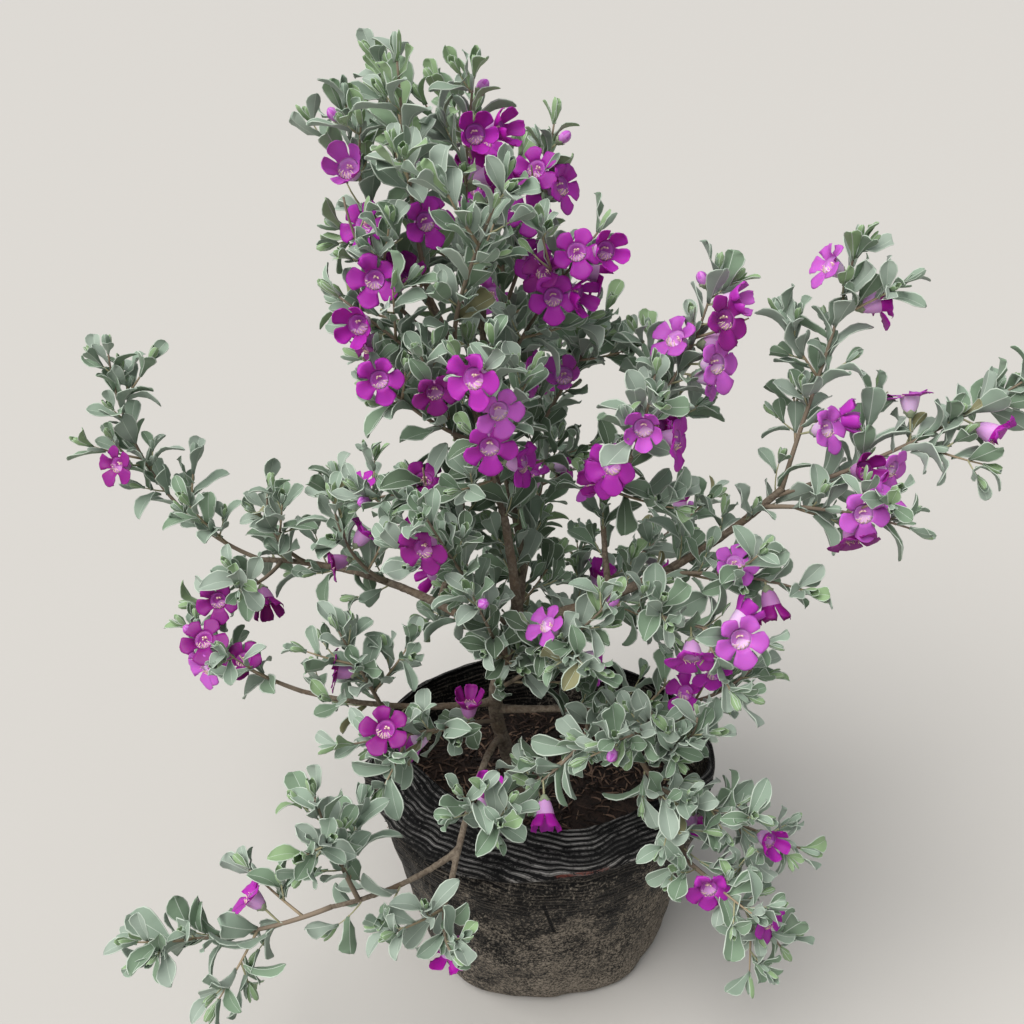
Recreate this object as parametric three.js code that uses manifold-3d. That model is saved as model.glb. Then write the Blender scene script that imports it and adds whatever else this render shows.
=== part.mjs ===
// A Texas sage shrub in bloom, standing in a black plastic grow bag filled with potting mix.
// Millimetres, +Z up. The origin is the centre of the bag's flat underside, and -Y is the front.

import * as THREE from "three";
import { mergeVertices } from "three/addons/utils/BufferGeometryUtils.js";
import Module from "manifold-3d";

const wasm = await Module();
wasm.setup();

// Fit
const MERGE = 1e-4; // corners closer than this are one
const FINE = 0.02; // detail smaller than this is dropped
const CLEAR = 0.3; // gap where one piece meets another
const ROOM = 0.9; // gap that leaves keep to the next spray
const LIMB_ROOM = 1.2; // gap that leaves keep to a bough
const BAG_ROOM = 6; // gap that leaves keep to the bag, the mix and the ground

// Grow bag
const BAG_RIM = 120; // half width of the rim, left to right
const BAG_DEPTH = 110 / 120; // front to back, as a share of left to right
const BAG_WALL = 1.6;
const BAG_SIDES = 24;
const RIM_HEIGHT = 166;
const FOOT_RADIUS = 80; // flat disc that the bag stands on
const FOOT_CURVE = 4; // height below which the side curves under
const LIP_RADIUS = 116; // edge of the collar where it isn't turned in
const COLLAR_TUCK = 26; // width of the collar where it is turned in
const TUCK_HEADING = -105; // degrees, the side where it is turned in most
const LUMP = 1.4; // how far the filled side swells and dips

// Potting mix
const SOIL_TOP = 119;
const SOIL_HEAP = 2; // rise of the mix towards the wall
const SOIL_CREST = 100; // radius where it lies highest
const SOIL_FLAT = 24; // radius of the level patch round the stem

// Growth
const TRUNK_OFFSET = -15; // the trunk's foot, to the left of the bag's middle
const TRUNK_SUNK = 8; // cut away again, level with the mix
const FLARE_HEIGHT = 13;
const ARC_STEPS = 24;
const RING_SPACING = 26;
const FEWEST_RINGS = 4;
const NEAR = 14; // pieces further apart than this can't touch
const BOUGH_SIDES = 8;
const THIN_BOUGH_SIDES = 6;
const THIN_BOUGH = 2.4; // radius
const STEM_SIDES = 4;
const TWIG_SIDES = 3;
const GOLDEN_ANGLE = 137.5; // degrees from each leaf or twig to the next
const TWIG_SPACING = 42;
const TWIG_LENGTH = 40;
const TWIG_SPREAD = 52; // degrees between a twig and its stem
const TWIG_RADIUS = 1.1;
const STEM_RADIUS = 1.7;
const STEM_TIP_RADIUS = 1.1;
const LEAF_LENGTHS = [40, 33, 26]; // the first that finds room is grown
const LEAF_WIDTH = 0.54; // share of the length
const LEAF_THICKNESS = 0.06; // share of the length
const LEAF_BROADEST = 0.6; // share of the length from the root
const LEAF_THICKEST = 0.3; // share of the length from the root
const LEAF_SPACING = 18;
const LEAF_SPREAD = 62; // degrees between the lowest leaf and its twig
const LEAF_CLOSING = 30; // how much less it is at the tip
const STEM_BARE = 0.35; // share of a stem below its first leaf
const TWIG_BARE = 0.3;
const LEAF_GAP = 0.4; // between one leaf and the next on a spray
const ROOT_DEPTH = 0.4; // how far a root goes past the middle of its twig
const BELL_RADIUS = 13;
const BELL_NOTCH = 0.66; // radius between two lobes, as a share of a lobe's
const BELL_DEPTH = 9; // how far the throat lies behind the lobes
const BLOOM_SPREAD = 65; // degrees between a flower and its stem
const BLOOM_REACH = 18; // from the stem to the middle of the flower

// Trunk and boughs: parent, share of the parent's length where it leaves, the heading it leaves on and
// how far that turns, its pitch and how far that lifts, in degrees, its length, and its two radii.
const LIMBS = [
  { name: "trunk", bend: [-230, 260, 75, 0], length: 175, radii: [5.4, 4.2], flare: 3.4 },
  { name: "leader_left", from: ["trunk", 1], bend: [145, 25, 85, -20], length: 210, radii: [3.1, 1.9] },
  { name: "leader_right", from: ["trunk", 0.9], bend: [60, 150, 48, 45], length: 216, radii: [3.3, 1.9] },
  { name: "right_bough", from: ["trunk", 0.96], bend: [5, -5, 10, 40], length: 190, radii: [3.6, 2.1] },
  { name: "left_bough", from: ["trunk", 0.85], bend: [145, 25, 20, -25], length: 190, radii: [3.2, 1.8] },
  { name: "left_riser", from: ["left_bough", 0.29], bend: [50, -190, 70, 15], length: 122, radii: [2, 1.4] },
  { name: "right_riser", from: ["right_bough", 0.33], bend: [110, 5, 70, 15], length: 90, radii: [2.1, 1.5] },
  { name: "low_left_bough", from: ["trunk", 0.55], bend: [-160, -30, 5, 5], length: 130, radii: [2.5, 1.5] },
  { name: "low_right_bough", from: ["trunk", 0.5], bend: [-20, 20, 15, -10], length: 125, radii: [2.7, 1.6] },
  { name: "front_bough", from: ["trunk", 0.3], bend: [-100, -5, 48, -90], length: 152, radii: [2.6, 1.8] },
  { name: "front_left_bough", from: ["front_bough", 0.88], bend: [-145, -30, -15, 5], length: 80,
    radii: [1.8, 1.4] },
  { name: "right_front_bough", from: ["low_right_bough", 0.55], bend: [-60, 10, 10, -80], length: 120,
    radii: [2.2, 1.5] },
];

// Sprays of foliage, each on one stem that leaves its bough as a limb does. Each bloom has its share of
// the stem's length, its roll about the stem in degrees and, where it isn't the usual one, its reach.
const SPRAYS = [
  { name: "top_far_left", from: ["leader_left", 0.94], bend: [150, 15, 40, 45], length: 112,
    blooms: [[0.5, 0]] },
  { name: "top_left", from: ["leader_left", 1], bend: [-145, 30, 80, 5], length: 110, blooms: [[0.35, 345]] },
  { name: "top_middle", from: ["leader_right", 0.94], bend: [165, -15, 48, 38], length: 150,
    blooms: [[0.7, 105]] },
  { name: "top_front", from: ["leader_right", 1], bend: [-140, 95, 70, 10], length: 125,
    blooms: [[0.6, 60]] },
  { name: "top_back", from: ["leader_right", 0.8], bend: [40, 140, 65, -5], length: 170,
    blooms: [[0.8, 75], [0.65, 30], [0.65, 120], [0.55, 75], [0.75, 240]] },
  { name: "top_right", from: ["leader_right", 0.86], bend: [35, -20, 60, 20], length: 130,
    blooms: [[0.8, 210], [0.45, 180]] },
  { name: "crown_right_high", from: ["leader_right", 0.7], bend: [-70, 65, 62, -8], length: 130,
    blooms: [[0.95, 165], [0.75, 195], [0.9, 285], [0.3, 300]] },
  { name: "crown_left_high", from: ["leader_left", 0.84], bend: [-175, 10, 32, 45], length: 94,
    blooms: [[0.6, 0]] },
  { name: "crown_left_mid", from: ["leader_left", 0.7], bend: [-165, 0, 42, 0], length: 84,
    blooms: [[0.9, 345], [0.75, 285]] },
  { name: "crown_left_low", from: ["leader_left", 0.55], bend: [-155, -5, 25, 30], length: 85,
    blooms: [[0.95, 0]] },
  { name: "crown_front_high", from: ["leader_left", 0.8], bend: [-100, 70, 50, 15], length: 120 },
  { name: "crown_front", from: ["leader_left", 0.42], bend: [-100, 20, 40, 35], length: 120,
    blooms: [[0.95, 225], [0.8, 285], [0.3, 105], [0.35, 345, 24]] },
  { name: "crown_right_mid", from: ["leader_right", 0.45], bend: [50, -70, 55, 10], length: 120 },
  { name: "crown_back_high", from: ["leader_right", 0.55], bend: [95, -5, 35, 40], length: 150,
    blooms: [[0.7, 75], [0.9, 190]] },
  { name: "right_riser_top", from: ["right_riser", 1], bend: [-25, 55, 45, 30], length: 120,
    blooms: [[0.95, 210], [0.75, 255], [0.6, 225, 24], [0.7, 105]] },
  { name: "right_riser_front", from: ["right_riser", 0.7], bend: [-80, 10, 35, 40], length: 120,
    blooms: [[0.2, 150], [0.5, 195], [0.85, 240], [0.6, 0, 24]] },
  { name: "right_tip_up", from: ["right_bough", 1], bend: [55, -50, 65, 20], length: 135,
    blooms: [[0.95, 90], [0.8, 255, 24], [0.3, 210, 24]] },
  { name: "right_tip_out", from: ["right_bough", 0.96], bend: [0, 5, 20, 15], length: 155,
    blooms: [[0.55, 60, 30], [0.75, 210, 24], [0.4, 195]] },
  { name: "right_tip_low", from: ["right_bough", 0.91], bend: [-35, 10, 20, -25], length: 75,
    blooms: [[0.85, 90], [0.7, 225]] },
  { name: "right_mid_low", from: ["right_bough", 0.5], bend: [-40, 20, 30, -35], length: 85,
    blooms: [[0.6, 120], [0.85, 240]] },
  { name: "right_mid_front", from: ["right_bough", 0.3], bend: [-60, 35, 20, -20], length: 105,
    blooms: [[0.95, 150], [0.9, 30]] },
  { name: "centre_front", from: ["trunk", 0.62], bend: [-45, -5, 45, 10], length: 140,
    blooms: [[0.55, 315, 30], [0.7, 135, 24]] },
  { name: "centre_rosette", from: ["trunk", 0.78], bend: [-95, -20, 50, 10], length: 95 },
  { name: "left_centre", from: ["trunk", 0.93], bend: [-125, -20, 50, 15], length: 125, blooms: [[0.9, 300]] },
  { name: "left_riser_top", from: ["left_riser", 1], bend: [-110, 5, 60, -10], length: 80,
    blooms: [[0.85, 300]] },
  { name: "left_riser_side", from: ["left_riser", 0.6], bend: [-130, -35, 55, -60], length: 60,
    blooms: [[0.6, 60]] },
  { name: "left_inner", from: ["left_bough", 0.5], bend: [-135, 0, 40, 40], length: 75,
    blooms: [[0.5, 240], [0.6, 75]] },
  { name: "left_middle", from: ["left_bough", 0.82], bend: [-160, -35, 35, 60], length: 55 },
  { name: "left_tip_low", from: ["left_bough", 0.92], bend: [-105, -55, -10, 5], length: 55,
    blooms: [[0.9, 30], [0.45, 330]] },
  { name: "left_tip", from: ["left_bough", 1], bend: [175, -25, 20, 70], length: 170,
    blooms: [[0.6, 0, 28]] },
  { name: "low_left_inner", from: ["low_left_bough", 0.6], bend: [-110, -30, 65, 5], length: 70,
    blooms: [[0.55, 210]] },
  { name: "low_left_tip", from: ["low_left_bough", 1], bend: [165, 5, 10, 30], length: 75,
    blooms: [[0.9, 45], [0.75, 345], [0.5, 60]] },
  { name: "low_left_rim", from: ["trunk", 0.42], bend: [-110, -50, 40, -35], length: 130,
    blooms: [[0.85, 60], [0.6, 240], [0.35, 90]] },
  { name: "low_right_rim", from: ["low_right_bough", 0.75], bend: [-55, -90, 35, -25], length: 90 },
  { name: "low_right_tip", from: ["low_right_bough", 1], bend: [-60, 50, 35, 15], length: 55,
    blooms: [[0.3, 135], [0.75, 105]] },
  { name: "inner_shoot", from: ["low_right_bough", 0.4], bend: [-35, -155, 35, -90], length: 90,
    blooms: [[0.95, 330, 24]] },
  { name: "rim_right", from: ["right_front_bough", 0.3], bend: [-25, -25, -10, 85], length: 60 },
  { name: "over_rim_right", from: ["right_front_bough", 0.6], bend: [5, -20, -35, 20], length: 90,
    blooms: [[0.8, 150], [0.3, 270]] },
  { name: "over_rim_front_right", from: ["right_front_bough", 1], bend: [-40, 30, -15, -35], length: 70,
    blooms: [[0.7, 120], [0.2, 150]] },
  { name: "front_inner", from: ["front_bough", 0.7], bend: [-50, -30, 20, 20], length: 50,
    blooms: [[0.3, 75]] },
  { name: "front_low", from: ["front_bough", 1], bend: [-115, 40, -45, 45], length: 34,
    blooms: [[0.8, 285]] },
  { name: "front_tip", from: ["front_left_bough", 1], bend: [-170, -15, -20, 15], length: 105,
    blooms: [[0.3, 105, 28]] },
  { name: "front_rise", from: ["front_left_bough", 0.8], bend: [-165, 35, 75, 5], length: 80 },
  { name: "back_top", from: ["trunk", 0.97], bend: [85, -15, -10, 95], length: 245,
    blooms: [[0.85, 80], [0.6, 200]] },
  { name: "back_left", from: ["trunk", 0.8], bend: [100, 45, -5, 25], length: 245,
    blooms: [[0.9, 60], [0.7, 200], [0.5, 300]] },
  { name: "back_right", from: ["trunk", 0.72], bend: [60, -20, -5, 20], length: 260,
    blooms: [[0.65, 210, 24], [0.9, 60], [0.45, 100]] },
];

const COLOURS = {
  bag: { color: 0x17181a, roughness: 0.62, metalness: 0 },
  soil: { color: 0x3a2a20, roughness: 0.95, metalness: 0 },
  bark: { color: 0x8d7f70, roughness: 0.9, metalness: 0 },
  foliage: { color: 0x9fb09a, roughness: 0.85, metalness: 0 },
};

const radians = THREE.MathUtils.degToRad;
const UP = new THREE.Vector3(0, 0, 1);

function heading(azimuth, pitch) {
  const level = Math.cos(radians(pitch));
  return new THREE.Vector3(
    level * Math.cos(radians(azimuth)), level * Math.sin(radians(azimuth)), Math.sin(radians(pitch)));
}

// The axis of a limb or twig: it leaves on one heading and pitch, and both change evenly on the way.
class Axis extends THREE.Curve {
  constructor(start, bend, length) {
    super();
    this.bend = bend;
    this.length = length;
    this.points = [start.clone()];
    for (let i = 0; i < ARC_STEPS; i += 1) {
      const step = this.getTangent((i + 0.5) / ARC_STEPS).multiplyScalar(length / ARC_STEPS);
      this.points.push(this.points[i].clone().add(step));
    }
  }

  getTangent(share, target = new THREE.Vector3()) {
    const [azimuth, turn, pitch, lift] = this.bend;
    return target.copy(heading(azimuth + turn * share, pitch + lift * share));
  }

  getPoint(share, target = new THREE.Vector3()) {
    const whole = Math.min(Math.floor(share * ARC_STEPS), ARC_STEPS - 1);
    return target.lerpVectors(this.points[whole], this.points[whole + 1], share * ARC_STEPS - whole);
  }

  // A level direction and an upward one, both square to the axis.
  getSides(share) {
    const side = heading(this.bend[0] + this.bend[1] * share + 90, 0);
    return [side, new THREE.Vector3().crossVectors(this.getTangent(share), side)];
  }

  // A direction that leaves the axis at a spread in degrees, rolled about it.
  leaving(share, spread, roll) {
    const [side, over] = this.getSides(share);
    return this.getTangent(share).multiplyScalar(Math.cos(radians(spread)))
      .addScaledVector(side, Math.sin(radians(spread)) * Math.cos(radians(roll)))
      .addScaledVector(over, Math.sin(radians(spread)) * Math.sin(radians(roll)));
  }

  distanceTo(point) {
    let nearest = Infinity;
    let share = 0;
    const line = new THREE.Line3();
    const foot = new THREE.Vector3();
    for (let i = 0; i < ARC_STEPS; i += 2) {
      line.set(this.points[i], this.points[i + 2]).closestPointToPoint(point, true, foot);
      const distance = foot.distanceTo(point);
      if (distance < nearest) {
        nearest = distance;
        share = (i + 1) / ARC_STEPS;
      }
    }
    return { distance: nearest, share };
  }
}

// Even numbers from 0 to 1 in an order that the seed fixes.
function dice(seed) {
  let state = (seed * 2654435761) % 4294967296;
  return () => {
    state = (state * 1664525 + 1013904223) % 4294967296;
    return state / 4294967296;
  };
}

function solidOf(geometry) {
  const bare = geometry.clone();
  bare.deleteAttribute("normal");
  bare.deleteAttribute("uv");
  const merged = mergeVertices(bare, MERGE);
  return new wasm.Manifold(new wasm.Mesh({
    numProp: 3,
    vertProperties: new Float32Array(merged.attributes.position.array),
    triVerts: new Uint32Array(merged.index.array),
  })).setTolerance(FINE);
}

// Only the largest body is kept, so that scraps fall away and sealed hollows fill.
function geometryOf(solid) {
  const [largest] = solid.decompose().sort((a, b) => b.volume() - a.volume());
  const mesh = largest.simplify(FINE).getMesh();
  const geometry = new THREE.BufferGeometry();
  geometry.setAttribute("position", new THREE.BufferAttribute(Float32Array.from(mesh.vertProperties), 3));
  geometry.setIndex(new THREE.BufferAttribute(Uint32Array.from(mesh.triVerts), 1));
  geometry.computeVertexNormals();
  return geometry;
}

function part(name, geometry, look) {
  const mesh = new THREE.Mesh(geometry, new THREE.MeshStandardMaterial(COLOURS[look]));
  mesh.name = name;
  return mesh;
}

// A cylinder bent onto an axis, its two ends carried on by the given lengths.
function tube(axis, radiusAt, sides, steps, ends = [0, 0]) {
  const geometry = new THREE.CylinderGeometry(1, 1, 1, sides, steps);
  const places = geometry.attributes.position;
  const point = new THREE.Vector3();
  for (let i = 0; i < places.count; i += 1) {
    const share = Math.round((places.getY(i) + 0.5) * steps) / steps;
    const radius = radiusAt(share);
    const [side, over] = axis.getSides(share);
    axis.getPoint(share, point);
    if (share === 0) point.addScaledVector(axis.getTangent(0), -ends[0]);
    if (share === 1) point.addScaledVector(axis.getTangent(1), ends[1]);
    point.addScaledVector(side, places.getX(i) * radius);
    point.addScaledVector(over, -places.getZ(i) * radius);
    places.setXYZ(i, point.x, point.y, point.z);
  }
  return geometry;
}

// The bag's outside, from the middle of its foot up to the crease of the rim: radius and height.
const BAG_PROFILE = [
  [0, 0], [FOOT_RADIUS, 0], [88, 3], [92.5, 11], [98, 40], [106, 80], [113, 118], [118, 145],
  [BAG_RIM, RIM_HEIGHT - 6], [BAG_RIM - 1, RIM_HEIGHT],
];

// Bends a turned shape into the bag's own: oval, and uneven where the mix presses on the side.
function settle(geometry) {
  const turned = geometry.rotateX(Math.PI / 2);
  const places = turned.attributes.position;
  for (let i = 0; i < places.count; i += 1) {
    const angle = Math.atan2(places.getY(i), places.getX(i));
    const height = THREE.MathUtils.clamp(places.getZ(i) / RIM_HEIGHT, 0, 1);
    const swell = LUMP * Math.sin(Math.PI * height) * (Math.sin(3 * angle + 0.8) + Math.sin(5 * angle));
    const share = 1 + swell / BAG_RIM;
    places.setXY(i, places.getX(i) * share, places.getY(i) * share * BAG_DEPTH);
  }
  return turned;
}

// How far the collar is turned in at an angle, from 0 at the back to 1 at the front.
function tuckAt(angle) {
  return THREE.MathUtils.smoothstep(Math.cos(angle - radians(TUCK_HEADING)), -0.1, 0.6);
}

function growBag() {
  const inside = BAG_PROFILE.slice(1, -1).reverse()
    .map(([radius, height]) => [radius - BAG_WALL, height < FOOT_CURVE ? height + BAG_WALL : height]);
  const lipHeights = [RIM_HEIGHT + 2, RIM_HEIGHT + 2 - BAG_WALL];
  const lip = lipHeights.map((height) => [LIP_RADIUS, height]);
  const outline = [...BAG_PROFILE, ...lip, ...inside, [0, BAG_WALL]]
    .map(([radius, height]) => new THREE.Vector2(radius, height));
  const turned = new THREE.LatheGeometry(outline, BAG_SIDES);
  const places = turned.attributes.position;
  for (let i = 0; i < places.count; i += 1) {
    const onLip = lipHeights.some((height) => Math.abs(places.getY(i) - height) < 0.05);
    if (!onLip) continue;
    const angle = Math.atan2(-places.getZ(i), places.getX(i));
    const radius = Math.hypot(places.getX(i), places.getZ(i));
    const share = (radius - COLLAR_TUCK * tuckAt(angle)) / radius;
    places.setX(i, places.getX(i) * share);
    places.setZ(i, places.getZ(i) * share);
  }
  return settle(turned);
}

function soil(raised = 0) {
  const gap = BAG_WALL + 2 * CLEAR;
  const sides = BAG_PROFILE.filter(([radius, height]) => radius > 0 && height < SOIL_TOP)
    .map(([radius, height]) => [radius - gap, height < FOOT_CURVE ? height + gap : height]);
  const outline = [
    [0, gap], ...sides, [SOIL_CREST, SOIL_TOP + SOIL_HEAP], [0.6 * SOIL_CREST, SOIL_TOP + SOIL_HEAP / 2],
    [SOIL_FLAT, SOIL_TOP], [0, SOIL_TOP],
  ].map(([radius, height]) => new THREE.Vector2(radius, height));
  return settle(new THREE.LatheGeometry(outline, BAG_SIDES)).translate(0, 0, raised);
}

// Whether a point is clear of the bag's wall and collar and of the mix, and off the ground.
function clearOfBag(point) {
  const angle = Math.atan2(point.y / BAG_DEPTH, point.x);
  const radius = Math.hypot(point.x, point.y / BAG_DEPTH);
  if (point.z < BAG_ROOM) return false;
  if (point.z > RIM_HEIGHT + BAG_ROOM) return true;
  if (radius > THREE.MathUtils.mapLinear(point.z, 0, RIM_HEIGHT, 92, BAG_RIM) + BAG_ROOM) return true;
  return point.z > SOIL_TOP + BAG_ROOM && radius < LIP_RADIUS - COLLAR_TUCK * tuckAt(angle) - BAG_ROOM;
}

const limbs = new Map();
const stems = new Map();

function radiusOn(limb, share) {
  const [base, tip] = limb.radii;
  const flare = (limb.flare ?? 0) * Math.exp(-share * limb.length / FLARE_HEIGHT);
  return base + (tip - base) * share + flare;
}

function axisOf(row) {
  const start = new THREE.Vector3(TRUNK_OFFSET, 0, SOIL_TOP);
  if (row.from) {
    const [parent, share] = row.from;
    limbs.get(parent).axis.getPoint(share, start);
  }
  return new Axis(start, row.bend, row.length);
}

LIMBS.forEach((row) => limbs.set(row.name, { ...row, axis: axisOf(row) }));
SPRAYS.forEach((row, index) => stems.set(row.name, {
  ...row, seed: index + 11, radii: [STEM_RADIUS, STEM_TIP_RADIUS], axis: axisOf(row) }));

// Whether every point keeps to a spray's own space: nearer to its stem than to any other spray's,
// and clear of the limbs and the bag.
function keepsTo(stem, points) {
  return points.every((point) => {
    if (!clearOfBag(point)) return false;
    for (const limb of limbs.values()) {
      const { distance, share } = limb.axis.distanceTo(point);
      if (distance < radiusOn(limb, share) + LIMB_ROOM) return false;
    }
    const own = stem.axis.distanceTo(point).distance;
    for (const other of stems.values()) {
      if (other !== stem && other.axis.distanceTo(point).distance < own + ROOM) return false;
    }
    return true;
  });
}

// A pointed blade, broadest past its middle, that grows from its root along a direction. It is a
// three-sided double cone pressed flat: two of its middle corners are the edges, the third a keel.
function leaf(root, along, across, length) {
  const face = new THREE.Vector3().crossVectors(along, across);
  const basis = new THREE.Matrix4().makeBasis(along, across, face).setPosition(root);
  const outline = [[0, 0], [1, 0.5], [0, 1]].map(([radius, reach]) => new THREE.Vector2(radius, reach));
  const geometry = new THREE.LatheGeometry(outline, 3);
  const places = geometry.attributes.position;
  for (let i = 0; i < places.count; i += 1) {
    const onKeel = places.getZ(i) > 0.9;
    const onEdge = places.getZ(i) < -0.1;
    const middle = onKeel ? LEAF_THICKEST : LEAF_BROADEST;
    const reach = onKeel || onEdge ? middle : places.getY(i);
    const width = onEdge ? Math.sign(places.getX(i)) * LEAF_WIDTH * length / 2 : 0;
    const rise = onKeel ? -LEAF_THICKNESS * length : 0;
    places.setXYZ(i, reach * length, width, rise);
  }
  return geometry.applyMatrix4(basis);
}

// A bell with a five-lobed rim and a sunken throat, that opens along a direction.
function bell(root, along, length) {
  const outline = [[0, 0], [BELL_RADIUS, length], [0, length - BELL_DEPTH]]
    .map(([radius, height]) => new THREE.Vector2(radius, height));
  const geometry = new THREE.LatheGeometry(outline, 10);
  const places = geometry.attributes.position;
  for (let i = 0; i < places.count; i += 1) {
    const tenth = Math.round(Math.atan2(places.getX(i), places.getZ(i)) / (Math.PI / 5));
    const share = Math.abs(tenth) % 2 ? BELL_NOTCH : 1;
    places.setX(i, places.getX(i) * share);
    places.setZ(i, places.getZ(i) * share);
  }
  const turn = new THREE.Quaternion().setFromUnitVectors(new THREE.Vector3(0, 1, 0), along);
  return geometry.applyQuaternion(turn).translate(root.x, root.y, root.z);
}

// The middle of the side of a stem or twig that is nearest to a roll.
function facing(roll, sides) {
  const first = 180 / sides - 90;
  return first + 360 / sides * Math.round((roll - first) * sides / 360);
}

// Side twigs by the golden angle round a stem, each as long as its space allows.
function twigsOf(stem) {
  const roll = dice(stem.seed);
  const count = Math.max(1, Math.round(stem.length / TWIG_SPACING));
  const start = 360 * roll();
  const twigs = [];
  for (let i = 0; i < count; i += 1) {
    const share = (i + 0.4 + 0.4 * roll()) / (count + 0.4);
    const along = stem.axis.leaving(share, TWIG_SPREAD, facing(start + GOLDEN_ANGLE * i, STEM_SIDES));
    const azimuth = THREE.MathUtils.radToDeg(Math.atan2(along.y, along.x));
    const pitch = THREE.MathUtils.radToDeg(Math.asin(along.z));
    const full = TWIG_LENGTH * (1 - 0.4 * share) * (0.8 + 0.4 * roll());
    for (const cut of [1, 0.75, 0.5]) {
      const axis = new Axis(stem.axis.getPoint(share), [azimuth, 0, pitch, 0], full * cut);
      if (keepsTo(stem, [0.4, 0.7, 1].map((at) => axis.getPoint(at)))) {
        twigs.push(axis);
        break;
      }
    }
  }
  return twigs;
}

// Leaves up an axis by the golden angle, closer to its line towards the tip. Each is grown where it
// keeps to the spray's own space and clear of what the spray already carries.
function growLeaves(stem, axis, sides, from, roll, carried) {
  const count = Math.max(2, Math.round(axis.length * (1 - from) / LEAF_SPACING));
  const start = 360 * roll();
  for (let i = 0; i <= count; i += 1) {
    const share = from + (1 - from) * i / count;
    const spread = LEAF_SPREAD - LEAF_CLOSING * share;
    const along = axis.leaving(share, spread, facing(start + GOLDEN_ANGLE * i, sides));
    const across = new THREE.Vector3().crossVectors(axis.getTangent(share), along).normalize();
    const root = axis.getPoint(share).addScaledVector(along, -ROOT_DEPTH);
    for (const length of LEAF_LENGTHS) {
      const edge = [[0.35, 0], [0.6, 0.27], [0.6, -0.27], [0.82, 0.13], [0.82, -0.13], [1.02, 0]];
      const points = edge.map(([reach, side]) => root.clone()
        .addScaledVector(along, reach * length).addScaledVector(across, side * length));
      if (!keepsTo(stem, points)) continue;
      const grown = solidOf(leaf(root, along, across, length));
      if (carried.some((other) => grown.minGap(other, 2 * LEAF_GAP) < LEAF_GAP)) continue;
      carried.push(grown);
      break;
    }
  }
}

function growBlooms(stem, carried) {
  for (const [share, turned, reach = BLOOM_REACH] of stem.blooms ?? []) {
    const along = stem.axis.leaving(share, BLOOM_SPREAD, turned);
    const root = stem.axis.getPoint(share).addScaledVector(along, -ROOT_DEPTH);
    const length = reach + 3;
    const rim = root.clone().addScaledVector(along, length);
    const across = new THREE.Vector3().crossVectors(UP, along).normalize();
    const over = new THREE.Vector3().crossVectors(along, across);
    const edge = [0, 60, 120, 180, 240, 300].map((angle) => rim.clone()
      .addScaledVector(across, BELL_RADIUS * Math.cos(radians(angle)))
      .addScaledVector(over, BELL_RADIUS * Math.sin(radians(angle))));
    if (!keepsTo(stem, edge)) continue;
    carried.push(solidOf(bell(root, along, length)));
  }
}

function near(one, other) {
  return one.axis.points.some((point) => other.axis.distanceTo(point).distance < NEAR);
}

function ringsOn(limb) {
  return Math.max(Math.ceil(limb.length / RING_SPACING), FEWEST_RINGS);
}

// A limb or stem, cut clear of everything made before it.
function limbSolid(limb, sides, earlier) {
  const steps = ringsOn(limb);
  const below = limb.from ? 0 : TRUNK_SUNK;
  let solid = solidOf(tube(limb.axis, (share) => radiusOn(limb, share), sides, steps, [below, 0]));
  for (const other of earlier.filter((piece) => near(limb, piece))) {
    const grown = (share) => radiusOn(other, share) + CLEAR;
    solid = solid.subtract(solidOf(tube(other.axis, grown, BOUGH_SIDES, ringsOn(other), [CLEAR, CLEAR])));
  }
  return solid;
}

const plant = new THREE.Group();
plant.add(part("grow_bag", growBag(), "bag"));
plant.add(part("soil", soil(), "soil"));

const made = [];
for (const limb of limbs.values()) {
  const sides = limb.radii[0] > THIN_BOUGH ? BOUGH_SIDES : THIN_BOUGH_SIDES;
  let solid = limbSolid(limb, sides, made);
  if (!limb.from) solid = solid.subtract(solidOf(soil(CLEAR)));
  made.push(limb);
  plant.add(part(limb.name, geometryOf(solid), "bark"));
}
for (const stem of stems.values()) {
  const roll = dice(stem.seed + 500);
  const wood = [limbSolid(stem, STEM_SIDES, made)];
  const carried = [];
  growBlooms(stem, carried);
  growLeaves(stem, stem.axis, STEM_SIDES, STEM_BARE, roll, carried);
  for (const twig of twigsOf(stem)) {
    wood.push(solidOf(tube(twig, () => TWIG_RADIUS, TWIG_SIDES, 1)));
    growLeaves(stem, twig, TWIG_SIDES, TWIG_BARE, roll, carried);
  }
  made.push(stem);
  plant.add(part(stem.name, geometryOf(wasm.Manifold.union([...wood, ...carried])), "foliage"));
}

export default plant;
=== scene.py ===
# %% [markdown]
# # Texas sage in a black grow bag
# The packed model gives every solid its place, and nothing here moves or resizes one. This lesson
# grows the same shrub again with bark, fine twigs, felted leaves and bell flowers, and gives the
# film bag its wrinkles and dust. It starts by loading the model.

import math

import bmesh
import bpy
import numpy as np
from mathutils import Matrix, Vector, noise


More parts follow.
